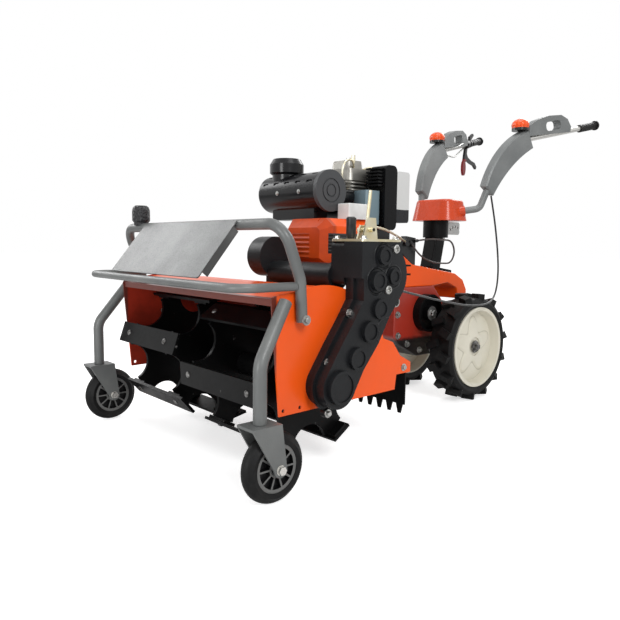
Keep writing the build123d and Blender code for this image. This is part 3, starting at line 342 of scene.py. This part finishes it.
def bolts(name, rows, material, body):
    """A piece of bolt heads: each row is the washer's seat, the way it faces, the flats and the height."""
    mesh = bmesh.new()
    for row in rows:
        hexagon(mesh, *row)
    return fit(name, moulded(name, mesh), material, body)


pivot = {joint["name"]: joint["pos_m"] for joint in frame["joints"]}
rotor_y, rotor_z = pivot["rotor_spin"][1:]
orange, orange_dull = (0.82, 0.088, 0.004), (0.74, 0.088, 0.009)
maroon, maroon_dull, lip_shade_brown = (0.38, 0.030, 0.013), (0.24, 0.021, 0.010), (0.13, 0.026, 0.017)
lip_y = -0.812
material, shader, mix = finish("deck_enamel")
x, y, z = mix.place().parts()
nx, ny, nz = mix.node("TexCoord", out="Normal").parts()
inside = (x * nx + (y - rotor_y) * ny + (z - rotor_z) * nz) < 0
# Painted shade: the hood's front lip is coloured dark brown.
lip = (lip_y - y).clip(0.0, 0.006)
peel, smear = mix.noise(180, 2), mix.noise(5, 4, 0.6)
outer = mix.tint(smear.clip(0.3, 0.8), orange, orange_dull)
inner = mix.tint(mix.noise(11, 4, 0.65).clip(0.35, 0.7), maroon, maroon_dull)
feed(shader, {
    "Base Color": mix.tint(lip, mix.tint(inside, outer, inner), lip_shade_brown),
    "Roughness": 0.24 + smear * 0.14 + inside * 0.2,
    "Normal": mix.relief(peel, 0.05),
    "Coat Weight": 0.12 - inside * 0.1,
    "Coat Roughness": 0.12,
    "Specular IOR Level": 0.22,
})
wear(material, "deck_side_left", "deck_side_right", "deck_hood")

zinc, shader, mix = finish("zinc_plate")
feed(shader, {
    "Base Color": mix.tint(mix.noise(60, 4).clip(0.3, 0.7), (0.30, 0.30, 0.29), (0.50, 0.50, 0.48)),
    "Roughness": 0.22 + mix.noise(90) * 0.2,
    "Metallic": 0.95,
})
left, right, front, top = (1, 0, 0), (-1, 0, 0), (0, -1, 0), (0, 0, 1)
plate_outer, plate_inner, hoop_face = 0.375, 0.371, 0.401
bearing_face, bearing_circle = 0.383, 0.047
rows = [((-plate_inner, y, z), left, 0.010, 0.005) for y, z in ((-0.692, 0.386), (-0.693, 0.340))]
for way in (left, right):
    rows.append(((way[0] * hoop_face, -0.750, 0.389), way, 0.013, 0.006))
    rows.append(((way[0] * plate_outer, -0.373, 0.230), way, 0.011, 0.006))
for quarter in range(4):
    angle = pi / 4 + quarter * pi / 2
    seat = (-bearing_face, rotor_y + bearing_circle * cos(angle), rotor_z + bearing_circle * sin(angle))
    rows.append((seat, right, 0.013, 0.008))
bolts("deck_bolts", rows, zinc, "chassis")


# Rotor: star plates and blades of steel plate in satin black enamel, scuffed to bare steel. Round-headed
# bolts, soiled with earth, hold each blade to its two star plates.
def paint_black(shader, mix, bare):
    """Satin black enamel, and bright metal where bare is 1."""
    grain = mix.noise(70, 4)
    enamel = mix.tint(mix.noise(7, 4).clip(0.35, 0.75), (0.0026, 0.0026, 0.00273), (0.0052, 0.0052, 0.00546))
    feed(shader, {
        "Base Color": mix.tint(bare, enamel, (0.42, 0.42, 0.41)),
        "Roughness": 0.26 + grain * 0.18,
        "Metallic": bare * 0.9,
        "Normal": mix.relief(grain, 0.1),
        "Specular IOR Level": 0.10,
    })


material, shader, mix = finish("blade_steel")
paint_black(shader, mix, mix.noise(26, 6, 0.7).clip(0.66, 0.74) * 0.55)
wear(material, "rotor_blades", "rotor_drum")

soiled, shader, mix = finish("soiled_steel")
feed(shader, {
    "Base Color": mix.tint(mix.noise(90, 4).clip(0.35, 0.65), (0.06, 0.058, 0.055), (0.26, 0.255, 0.25)),
    "Roughness": 0.34 + mix.noise(90) * 0.2,
    "Metallic": 0.8,
})
# Each pair of star plates: their places along the drum, and the angle of the first arm
star_pairs = (((-0.085, -0.300), 41.0), ((0.060, 0.318), 3.0))
blade_seat, head_radius = 0.180, 0.0085
mesh = bmesh.new()
for stations, phase in star_pairs:
    for station in stations:
        for arm in range(6):
            angle = radians(phase + 60 * arm)
            way = Vector((0, cos(angle), sin(angle)))
            seat = facing(Vector((station, rotor_y, rotor_z)) + blade_seat * way, way)
            bmesh.ops.create_uvsphere(mesh, u_segments=16, v_segments=8, radius=head_radius,
                                      matrix=seat @ Matrix.Diagonal((1, 1, 0.5, 1)))
fit("blade_bolts", moulded("blade_bolts", mesh, 180), soiled, "rotor")

# Frame, comb, column, side drum and rotor bearing: welded plate and tube in the same satin black. The
# quadrant plate beside the column and the middle of the side drum are bright zinc.
quadrant_y, quadrant_z, drum_y, drum_z, drum_radius = 0.262, 0.58, 0.125, 0.319, 0.026
material, shader, mix = finish("satin_black")
x, y, z = mix.place().parts()
quadrant = x.within(0.0275, 0.0335) * (y > quadrant_y) * (z > quadrant_z)
drum_middle = x.within(0.084, 0.094) * (mix.off_axle(drum_y, drum_z) < drum_radius)
paint_black(shader, mix, quadrant + drum_middle)
wear(material, "comb", "engine_frame", "handle_column", "side_drum", "rotor_bearing")


# Gear case: two cast halves in charcoal enamel with the grain of the sand mould under the paint, and a
# cast lip round the upper bosses. Bolts go through the ears of the seam and into the top, bright plugs
# close two bores of the outer face, and a small lug at the rear edge carries a bright ring.
def turnings(name, rows, material, body):
    """A piece of solids turned from pairs of radius and height, each at a spot and facing a way."""
    whole = bmesh.new()
    for profile, spot, way in rows:
        mesh = bmesh.new()
        points = [mesh.verts.new((radius, 0, height)) for radius, height in profile]
        edges = [mesh.edges.new(pair) for pair in zip(points, points[1:])]
        bmesh.ops.spin(mesh, geom=points + edges, cent=(0, 0, 0), axis=(0, 0, 1), angle=2 * pi, steps=32,
                       use_merge=True, use_duplicate=False)
        bmesh.ops.remove_doubles(mesh, verts=mesh.verts, dist=0.00002)
        bmesh.ops.recalc_face_normals(mesh, faces=mesh.faces)
        bmesh.ops.transform(mesh, matrix=facing(spot, way), verts=mesh.verts)
        solid = moulded(name, mesh)
        whole.from_mesh(solid)
        bpy.data.meshes.remove(solid)
    return fit(name, moulded(name, whole, 35), material, body)


def rods(name, rows, material, body):
    """A piece of bent round rods, each with its points and its radius."""
    whole = bmesh.new()
    for points, radius in rows:
        rod = tube(name, points, radius)[0]
        whole.from_mesh(rod)
        bpy.data.meshes.remove(rod)
    return fit(name, moulded(name, whole), material, body)


# Middle and radius of each boss of the upper cluster
upper_bosses = ((-0.496, 0.4823, 0.020), (-0.557, 0.4733, 0.024), (-0.535, 0.5333, 0.022),
                (-0.5209, 0.3485, 0.026))
case_face, ear_face, case_top, lip_gap, lip_width = 0.436, 0.412, 0.5733, 0.008, 0.0035
case_paint, shader, mix = finish("charcoal_casting")
grain = mix.noise(120, 5, 0.6)
x, y, z = mix.place().parts()
clear = 1.0
for boss_y, boss_z, boss_radius in upper_bosses:
    clear = mix.maths("MINIMUM", mix.off_axle(boss_y, boss_z) - boss_radius, clear)
lip = (1 - (clear - lip_gap).size().clip(0.0, lip_width)) * (x > case_face - 0.006)
feed(shader, {
    "Base Color": mix.tint(mix.noise(8, 4).clip(0.3, 0.8), (0.0055, 0.006, 0.007), (0.011, 0.012, 0.0135)),
    "Roughness": 0.28 + grain * 0.2,
    "Normal": mix.relief(grain * 0.3 + lip * 2.4, 1.0, 0.0012),
    "Specular IOR Level": 0.22,
})
wear(case_paint, "gear_case", "transfer_housing")

ears = ((-0.689, 0.166), (-0.629, 0.192), (-0.6924, 0.2864), (-0.5818, 0.2775), (-0.5339, 0.3325),
        (-0.6239, 0.3979), (-0.4947, 0.396))
rows = [((ear_face, y, z), left, 0.011, 0.006) for y, z in ears]
rows += [((x, y, case_top), top, 0.011, 0.006) for x in (0.338, 0.428) for y in (-0.596, -0.484)]
bolts("case_bolts", rows, zinc, "chassis")

cup = ((0, 0.003), (0.0050, 0.003), (0.0058, 0.0080), (0.0092, 0.0080), (0.0105, 0.0065),
       (0.0105, -0.002), (0, -0.002))
ring = ((0.0085, 0.002), (0.0095, 0.0065), (0.0125, 0.0065), (0.0135, 0.004), (0.0135, -0.002),
        (0.0085, -0.002), (0.0085, 0.002))
lug = ((0, 0.008), (0.013, 0.008), (0.014, 0.007), (0.014, -0.007), (0.013, -0.008), (0, -0.008))
seam_x, lug_y, lug_z = 0.404, -0.461, 0.416
turnings("case_plugs", (
    (cup, (case_face, -0.493, 0.550), left),
    (cup, (case_face, -0.519, 0.451), left),
    (ring, (ear_face, lug_y, lug_z), left),
), zinc, "chassis")
turnings("seam_lug", ((lug, (seam_x, lug_y, lug_z), left),), case_paint, "chassis")
lug_arm = ((seam_x, -0.503, 0.434), (seam_x, -0.482, 0.425), (seam_x, lug_y, lug_z))
rods("seam_lug_arm", ((lug_arm, 0.0075),), case_paint, "chassis")

# Top plate: yellow zinc over steel, with the shift lever's bracket welded to it. The lever, its pin and
# its rod back to the linkage are plated the same, and the shift lock has a black knurled knob.
yellow_zinc, shader, mix = finish("yellow_zinc")
feed(shader, {
    "Base Color": mix.tint(mix.noise(16, 4).clip(0.3, 0.7), (0.58, 0.50, 0.30), (0.68, 0.64, 0.50)),
    "Roughness": 0.24 + mix.noise(40) * 0.2,
    "Metallic": 0.9,
})
wear(yellow_zinc, "case_top_plate")
lever = ((0.386, -0.545, 0.590), (0.388, -0.541, 0.630), (0.388, -0.534, 0.692))
lever_pin = ((0.412, -0.545, 0.596), (0.360, -0.545, 0.596))
shift_rod = ((0.388, -0.541, 0.606), (0.330, -0.440, 0.606), (0.240, -0.285, 0.600), (0.050, 0.020, 0.572))
rods("shift_rods", ((lever, 0.0042), (shift_rod, 0.0035), (lever_pin, 0.0045)), yellow_zinc,
     "chassis")

black_oxide, shader, mix = finish("black_oxide")
feed(shader, {
    "Base Color": mix.tint(mix.noise(60, 4).clip(0.3, 0.7), (0.012, 0.012, 0.013), (0.03, 0.03, 0.03)),
    "Roughness": 0.32 + mix.noise(90) * 0.15,
    "Metallic": 0.4,
    "Specular IOR Level": 0.35,
})
knob = ((0, 0.052), (0.009, 0.052), (0.012, 0.049), (0.012, 0.006), (0.010, 0.003), (0.010, -0.002),
        (0, -0.002))
turnings("shift_knob", ((knob, (0.376, -0.587, 0.5745), top),), black_oxide, "chassis")


# Front tubes: hoop, bumper, caster legs and forks of bent steel tube and plate in hammered grey enamel.
# The casters' axle nuts are bare zinc.
def paint_grey(shader, mix, tone, bare):
    """Hammered enamel of a tone, and bright plated steel where bare is 1."""
    dimple = mix.node("TexVoronoi", None, {"Vector": mix.place(), "Scale": 260})
    feed(shader, {
        "Base Color": mix.tint(bare, tone, (0.62, 0.61, 0.58)),
        "Roughness": 0.34 + dimple * 0.22 - bare * 0.2,
        "Metallic": 0.2 + bare * 0.75,
        "Normal": mix.relief(dimple * (1 - bare), 0.16, 0.0006),
        "Coat Weight": 0.12 - bare * 0.12,
        "Coat Roughness": 0.2,
        "Specular IOR Level": 0.25,
    })


caster_x, caster_y, caster_z = pivot["caster_roll_left"]
nut_radius = 0.01118
material, shader, mix = finish("hammered_grey")
tone = mix.tint(mix.noise(9).clip(0.3, 0.8), (0.112, 0.117, 0.116), (0.155, 0.160, 0.156))
paint_grey(shader, mix, tone, mix.off_axle(caster_y, caster_z) < nut_radius)
wear(material, "front_hoop", "front_bumper", "caster_leg_left", "caster_leg_right", "caster_fork_left",
     "caster_fork_right")

# Deflector: a bent steel sheet in a darker, clouded grey, held by the hoop and the bumper. It is plain on
# both sides.
material, shader, mix = finish("panel_grey")
tone = mix.tint(mix.noise(4, 4, 0.6).clip(0.35, 0.7), (0.062, 0.065, 0.065), (0.120, 0.124, 0.123))
paint_grey(shader, mix, tone, 0.0)
wear(material, "deflector_panel")

# Cap on the far corner of the hoop: a black moulded knob with a knurled side, screwed to the tube.
# The knurl is relief in the finish.
cap = ((0, 0.054), (0.017, 0.054), (0.023, 0.049), (0.026, 0.040), (0.026, 0.010), (0.021, 0.004),
       (0.021, -0.004), (0, -0.004))
material, shader, mix = finish("knurled_black")
knurl = mix.node("TexVoronoi", None, {"Vector": mix.place(), "Scale": 150})
feed(shader, {
    "Base Color": mix.tint(knurl.clip(0.1, 0.6), (0.003, 0.003, 0.0035), (0.022, 0.022, 0.024)),
    "Roughness": 0.28 + knurl * 0.2,
    "Normal": mix.relief(knurl, 0.9, 0.003),
    "Specular IOR Level": 0.3,
})
turnings("hoop_cap", ((cap, (-0.285, -0.808, 0.614), top),), material, "chassis")


# Caster hubs: moulded black nylon wheels, pressed on to bolts in the forks. Their rim and ribs are
# rubbed grey on the outer faces.
def mould(shader, mix, tone, marked=0.0, mark_tone=(0, 0, 0)):
    """Moulded plastic of a tone, with another tone where marked is 1."""
    grain = mix.noise(220, 2)
    plain = mix.tint(mix.noise(18, 3).clip(0.3, 0.8), tone, tuple(0.8 * part for part in tone))
    feed(shader, {
        "Base Color": mix.tint(marked, plain, mark_tone),
        "Roughness": 0.30 + grain * 0.12,
        "Normal": mix.relief(grain, 0.1, 0.0005),
        "Specular IOR Level": 0.22,
    })


black_nylon = (0.005, 0.005, 0.0055)
material, shader, mix = finish("hub_nylon")
x, y, z = mix.place().parts()
rubbed = (x.size() - caster_x).size().within(0.0154, 0.0175)
mould(shader, mix, black_nylon, rubbed, (0.125, 0.125, 0.122))
wear(material, "caster_hub_left", "caster_hub_right")

# Tyres: solid rubber on the casters and lugged rubber on the drive wheels, stretched on to their hubs and
# rims, with dust in the tread.
material, shader, mix = finish("tyre_rubber")
grain = mix.noise(160, 4)
feed(shader, {
    "Base Color": mix.tint(mix.noise(14, 5, 0.6).clip(0.45, 0.8), (0.0038, 0.0038, 0.004),
                           (0.014, 0.0135, 0.0125)),
    "Roughness": 0.42 + grain * 0.25,
    "Normal": mix.relief(grain, 0.2),
    "Specular IOR Level": 0.18,
})
wear(material, "caster_tyre_left", "caster_tyre_right", "drive_tyre_left", "drive_tyre_right")

# Wheel rims: pressed steel discs in cream enamel, each held by one soiled nut. A five-armed star is
# pressed outwards round the hub, as a skin on the CAD disc, and the crease at its foot has painted shade.
wheel_x, wheel_y, wheel_z = pivot["drive_roll_left"]
skin_inner, skin_outer, skin_lift, skin_sink, nut_lift = 0.0345, 0.122, 0.0004, 0.001, 0.030
star_middle, star_arm, star_rise, star_slope = 0.080, 0.026, 0.0045, 0.012
material, shader, mix = finish("cream_enamel")
x, y, z = mix.place().parts()
turn = mix.maths("ARCTAN2", z - wheel_z, y - wheel_y)
# Painted shade: a thin dark line along the foot of the star's slope.
foot = mix.off_axle(wheel_y, wheel_z) - (star_middle + 0.0055) - (turn * 5.0).sine() * star_arm
crease_shade = 0.4 - foot.size().clip(0.0005, 0.0045) * 0.4
cream = mix.tint(mix.noise(7, 4).clip(0.3, 0.8), (0.66, 0.63, 0.53), (0.58, 0.55, 0.45))
feed(shader, {
    "Base Color": mix.tint(crease_shade, cream, (0.22, 0.20, 0.15)),
    "Roughness": 0.28 + mix.noise(30) * 0.14,
    "Coat Weight": 0.2,
    "Coat Roughness": 0.15,
    "Specular IOR Level": 0.35,
})
wear(material, "drive_rim_left", "drive_rim_right")


cone_edge = 0.062


def disc_face(radius):
    """How far the disc's outer face stands beyond the wheel's middle: two cones from the hub to the rim."""
    if radius < cone_edge:
        return 0.024 - 0.006 * (radius - 0.034) / 0.028
    return 0.018 - 0.004 * (radius - cone_edge) / 0.064


# The skin's closed section: from the hub out along the disc's face, and back inside the disc
radii = [skin_inner + (skin_outer - skin_inner) * step / 22 for step in range(23)]
section = [(disc_face(radius), radius) for radius in radii]
section += [(disc_face(radius) - skin_sink, radius) for radius in (skin_outer, cone_edge, skin_inner)]
for side, way in (("left", 1), ("right", -1)):
    mesh = bmesh.new()
    points = [mesh.verts.new((depth, radius, 0)) for depth, radius in section]
    edges = [mesh.edges.new(pair) for pair in zip(points, points[1:] + points[:1])]
    bmesh.ops.spin(mesh, geom=points + edges, cent=(0, 0, 0), axis=(1, 0, 0), angle=2 * pi, steps=160,
                   use_merge=True, use_duplicate=False)
    bmesh.ops.remove_doubles(mesh, verts=mesh.verts, dist=0.00002)
    for vertex in mesh.verts:
        radius = hypot(vertex.co.y, vertex.co.z)
        edge = star_middle + star_arm * sin(5 * atan2(vertex.co.z, vertex.co.y)) - radius
        share = min(max(edge / star_slope + 0.5, 0.0), 1.0)
        if vertex.co.x > disc_face(radius) - skin_sink / 2:
            vertex.co.x += skin_lift + star_rise * share * share * (3 - 2 * share)
    bmesh.ops.scale(mesh, vec=(way, 1, 1), verts=mesh.verts)
    bmesh.ops.translate(mesh, vec=(way * wheel_x, wheel_y, wheel_z), verts=mesh.verts)
    bmesh.ops.recalc_face_normals(mesh, faces=mesh.faces)
    fit(f"rim_star_{side}", moulded(f"rim_star_{side}", mesh, 60), material,
        f"drive_wheel_{side}")
    nut_seat = (way * (wheel_x + nut_lift), wheel_y, wheel_z)
    bolts(f"wheel_nut_{side}", ((nut_seat, (way, 0, 0), 0.024, 0.012),), soiled,
          f"drive_wheel_{side}")

# Gearbox: a red enamelled casting between the wheels. Its lower edge and the housings under it are
# coloured black below a set height.
black_line_z = 0.232
material, shader, mix = finish("red_enamel")
grain = mix.noise(90, 3)
x, y, z = mix.place().parts()
low_black = (black_line_z - z + grain * 0.01).clip(-0.006, 0.012)
red = mix.tint(mix.noise(6).clip(0.3, 0.8), (0.34, 0.025, 0.012), (0.24, 0.020, 0.011))
feed(shader, {
    "Base Color": mix.tint(low_black, red, (0.008, 0.006, 0.006)),
    "Roughness": 0.28 + grain * 0.14,
    "Normal": mix.relief(grain, 0.15),
    "Coat Weight": 0.25,
    "Coat Roughness": 0.15,
    "Specular IOR Level": 0.4,
})
wear(material, "gearbox")

# Orange sheet metal away from the deck: the gearbox's cover, and the engine's fan shroud, with painted
# shade on its front face, and pressed louvres there whose slits are painted dark as shade, and a black
# slatted grille over the fan.
louvre_pitch, slat_pitch, louvre_top, grille_x, shroud_front = 0.013, 0.009, 0.590, 0.160, -0.478
material, shader, mix = finish("orange_enamel")
peel, smear = mix.noise(180, 2), mix.noise(5, 4, 0.6)
x, y, z = mix.place().parts()
louvre = (z * (2 * pi / louvre_pitch)).sine() * y.within(-0.53, -0.485) * z.within(0.520, louvre_top)
louvre = louvre * x.within(0.035, 0.150) * 0.8
grille = (x > grille_x) * y.within(-0.505, -0.385) * z.within(0.535, louvre_top)
slats = (z * (2 * pi / slat_pitch)).sine()
# Painted shade: the shroud's front face is darkened in soft clouds.
front_shade = (shroud_front - y).clip(0.0, 0.012) * (mix.noise(9, 4, 0.6).clip(0.25, 0.75) * 0.4 + 0.3)
paint = mix.tint(front_shade, mix.tint(smear.clip(0.3, 0.8), orange, orange_dull), (0.22, 0.022, 0.006))
# Painted shade: the louvres' slits are darkened in stripes.
paint = mix.tint(louvre.clip(0.2, 0.9) * 0.55, paint, (0.13, 0.012, 0.004))
grille_black = mix.tint(slats.clip(-0.3, 0.6), (0.004, 0.004, 0.004), (0.03, 0.028, 0.028))
feed(shader, {
    "Base Color": mix.tint(grille, paint, grille_black),
    "Roughness": 0.22 + smear * 0.14,
    "Normal": mix.relief(peel * 0.05 + louvre + slats * grille, 0.6, 0.002),
    "Coat Weight": 0.12,
    "Coat Roughness": 0.1,
    "Specular IOR Level": 0.22,
})
wear(material, "fan_shroud", "gearbox_cover")

# Engine casting: sand-cast aluminium, brown with heat round the head and black below. The duct on its
# side is a blue-grey pressing. The fuel pump and the injector's plated pipes are screwed to it.
duct_x, duct_top, crank_top = 0.1205, 0.74, 0.669
material, shader, mix = finish("cast_aluminium")
grain = mix.noise(110, 5, 0.6)
x, y, z = mix.place().parts()
duct = (x > duct_x) * (z < duct_top)
crank = (z < crank_top) * (1 - duct)
metal = mix.tint(mix.noise(12, 4).clip(0.3, 0.7), (0.20, 0.19, 0.175), (0.36, 0.35, 0.32))
feed(shader, {
    "Base Color": mix.tint(duct, mix.tint(crank, metal, (0.008, 0.0082, 0.009)), (0.13, 0.19, 0.22)),
    "Roughness": 0.30 + grain * 0.2,
    "Metallic": 0.85 - 0.75 * duct - 0.6 * crank,
    "Normal": mix.relief(grain, 0.3),
})
wear(material, "engine_block", "shift_linkage")
pump = ((0, 0.028), (0.006, 0.028), (0.006, 0.020), (0.013, 0.018), (0.013, 0.006), (0.017, 0.004),
        (0.017, -0.003), (0, -0.003))
pump_foot = (0.090, -0.312, crank_top - 0.001)
turnings("fuel_pump", ((pump, pump_foot, top),), material, "chassis")
pipe_radius = 0.0032
pump_pipe = ((0.070, -0.270, 0.800), (0.098, -0.300, 0.822), (0.104, -0.350, 0.806), (0.100, -0.350, 0.745),
             (0.094, -0.318, 0.715), (0.090, -0.315, 0.690))
return_pipe = ((0.070, -0.240, 0.790), (0.104, -0.215, 0.812), (0.110, -0.190, 0.770),
               (0.104, -0.176, 0.700), (0.100, -0.176, 0.664))
injector = ((0.060, -0.262, 0.812), (0.060, -0.262, 0.838))
rods("injector_pipes", ((pump_pipe, pipe_radius), (return_pipe, pipe_radius), (injector, 0.0065)),
     yellow_zinc, "chassis")

# Air cleaner: a pressed steel drum in gloss black enamel on its bracket. The cap on its left end is
# grey plastic.
cleaner_y, cleaner_z, cap_x, cap_radius = -0.444, 0.712, 0.1415, 0.060
material, shader, mix = finish("cleaner_black")
x, y, z = mix.place().parts()
cap_face = (x > cap_x) * (mix.off_axle(cleaner_y, cleaner_z) < cap_radius)
gloss_black = mix.tint(mix.noise(8, 4).clip(0.4, 0.7), (0.003, 0.0032, 0.004), (0.007, 0.0072, 0.008))
feed(shader, {
    "Base Color": mix.tint(cap_face, gloss_black, (0.050, 0.052, 0.055)),
    "Roughness": 0.16 + mix.noise(50) * 0.1 + cap_face * 0.22,
    "Normal": mix.relief(mix.noise(140, 3), 0.08),
    "Specular IOR Level": 0.25,
    "Coat Weight": 0.1,
    "Coat Roughness": 0.1,
})
wear(material, "air_cleaner")

# Muffler: a black pressed shell in front of a box. The box is dark grey below, and its upper side is
# bright sheet.
box_front, sheet_foot = -0.1955, 0.668
material, shader, mix = finish("muffler_black")
x, y, z = mix.place().parts()
box = y > box_front
silver = box * (z > sheet_foot + mix.noise(20, 2) * 0.004)
feed(shader, {
    "Base Color": mix.tint(silver, mix.tint(box, (0.0035, 0.0035, 0.004), (0.020, 0.021, 0.023)),
                           (0.66, 0.66, 0.65)),
    "Roughness": 0.22 + mix.noise(60, 3) * 0.14 + silver * 0.08,
    "Metallic": silver * 0.85,
    "Normal": mix.relief(mix.noise(60, 2), 0.06),
    "Specular IOR Level": 0.12,
})
wear(material, "muffler")

# Control box: a small box of moulded white plastic on the fan shroud. Its faces are blank, and its
# finish is the grained one of the hubs.
material, shader, mix = finish("white_plastic")
mould(shader, mix, (0.66, 0.67, 0.66))
wear(material, "control_box")

# Small zinc-plated fasteners elsewhere on the frame: on the air cleaner's band, the rocker cover, the
# rails, the side drum and round the gearbox's lower edge.
flange = ((-0.026, 0.396), (-0.026, 0.320), (-0.022, 0.246), (0.030, 0.212), (0.100, 0.184), (0.170, 0.180))
rail_side, rail_z, gearbox_side, drum_face, band_front = 0.110, 0.478, 0.058, 0.088, -0.4995
rows = [((x, band_front, 0.710), front, 0.007, 0.003) for x in (-0.022, 0.076)]
rows += [((0.040, -0.262, 0.822), top, 0.014, 0.008), ((drum_face, drum_y, drum_z), left, 0.022, 0.012)]
for way in (left, right):
    rows += [((way[0] * rail_side, y, rail_z), way, 0.012, 0.006) for y in (-0.440, -0.300, -0.100)]
    rows += [((way[0] * gearbox_side, y, z), way, 0.013, 0.008) for y, z in flange]
bolts("frame_bolts", rows, zinc, "chassis")

# Lid over the handlebars' swivel: a moulded cover in a lighter red enamel than the gearbox, with a
# slightly wavy surface.
material, shader, mix = finish("lid_enamel")
grain = mix.noise(90, 3)
feed(shader, {
    "Base Color": mix.tint(mix.noise(6).clip(0.3, 0.8), (0.60, 0.055, 0.009), (0.50, 0.050, 0.010)),
    "Roughness": 0.22 + grain * 0.12,
    "Normal": mix.relief(mix.noise(14, 2), 0.25, 0.004),
    "Coat Weight": 0.15,
    "Coat Roughness": 0.12,
    "Specular IOR Level": 0.25,
})
wear(material, "hub_cover")

# Handlebars: steel tube under pressed covers in the same hammered grey, a shade lighter. The plain bar
# that carries each grip is bright plated tube.
bar_start, bar_way = Vector((0.197, 0.545, 0.970)), Vector((0.065, 0.335, 0.080)).normalized()
bar_radius = 0.0108
material, shader, mix = finish("bar_grey")
x, y, z = mix.place().parts()
reach = mix.node("CombineXYZ", None, {0: x.size() - bar_start.x, 1: y - bar_start.y, 2: z - bar_start.z})
off_bar = mix.node("VectorMath", {"operation": "CROSS_PRODUCT"}, {0: reach, 1: tuple(bar_way)}).length()
tone = mix.tint(mix.noise(9).clip(0.3, 0.8), (0.150, 0.158, 0.158), (0.200, 0.208, 0.206))
paint_grey(shader, mix, tone, (off_bar < bar_radius) * (y > bar_start.y + 0.003))
wear(material, "handlebar_left", "handlebar_right")

# Grips: ribbed black rubber, pushed on to the bars. The ribs run round each grip and are relief in the
# finish.
grip_way, rib_pitch = (0.0, 0.972, 0.232), 0.008
material, shader, mix = finish("grip_rubber")
along = mix.node("VectorMath", {"operation": "DOT_PRODUCT"}, {0: mix.place(), 1: grip_way}, "Value")
rib = (along * (2 * pi / rib_pitch)).sine()
feed(shader, {
    "Base Color": mix.tint(rib.clip(-0.5, 0.5), (0.003, 0.003, 0.003), (0.009, 0.009, 0.009)),
    "Roughness": 0.4,
    "Normal": mix.relief(rib, 0.6, 0.002),
    "Specular IOR Level": 0.2,
})
wear(material, "grip_left", "grip_right")

# Hand levers: black nylon on a clamp at the right bar, with a dark red paddle. Two bright wire links
# run from them back into the bar's cover.
paddle_y, paddle_top = 0.792, 0.960
material, shader, mix = finish("lever_nylon")
x, y, z = mix.place().parts()
mould(shader, mix, black_nylon, (y < paddle_y) * (z < paddle_top), (0.16, 0.008, 0.010))
wear(material, "hand_levers")
link_radius = 0.0034
upper_link = ((-0.240, 0.775, 1.028), (-0.208, 0.705, 1.020), (-0.180, 0.635, 0.992), (-0.192, 0.562, 0.972))
lower_link = ((-0.241, 0.770, 1.012), (-0.226, 0.700, 0.978), (-0.205, 0.640, 0.946), (-0.199, 0.562, 0.958))
rods("lever_links", ((upper_link, link_radius), (lower_link, link_radius)), zinc,
     "handlebars")

# Lamps on the bars: ribbed domes of orange plastic, pressed on to the covers over a black gasket.
# The flutes are relief in the finish.
lamp_x, lamp_y, lamp_z, gasket_z, gasket_top = 0.191, 0.497, 1.016, 1.001, 1.0045
dome, gasket_radius, gasket_height = (0.033, 0.031, 0.0235), 0.031, 0.012
material, shader, mix = finish("orange_lens")
x, y, z = mix.place().parts()
turn = mix.maths("ARCTAN2", y - lamp_y, x.size() - lamp_x)
flute = (turn * 14.0).sine()
lens_part = z > gasket_top
fluted = mix.tint(flute.clip(-0.7, 0.7), (0.70, 0.072, 0.010), (0.80, 0.092, 0.012))
feed(shader, {
    "Base Color": mix.tint(lens_part, (0.006, 0.006, 0.006), fluted),
    "Roughness": 0.16 + mix.noise(60) * 0.1,
    "Normal": mix.relief(flute * lens_part, 0.3, 0.0015),
    "Coat Weight": 0.2,
    "Coat Roughness": 0.08,
    "Specular IOR Level": 0.3,
})
mesh = bmesh.new()
for way in (1, -1):
    seat = Matrix.Translation((way * lamp_x, lamp_y, lamp_z))
    bmesh.ops.create_uvsphere(mesh, u_segments=32, v_segments=20, radius=1.0,
                              matrix=seat @ Matrix.Diagonal((*dome, 1)))
    bmesh.ops.create_cone(mesh, cap_ends=True, segments=32, radius1=gasket_radius, radius2=gasket_radius,
                          depth=gasket_height, matrix=Matrix.Translation((way * lamp_x, lamp_y, gasket_z)))
lenses = fit("lamp_lenses", moulded("lamp_lenses", mesh, 35), material, "handlebars")
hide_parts("bar_lamps")
wear(material, "bar_lamps")
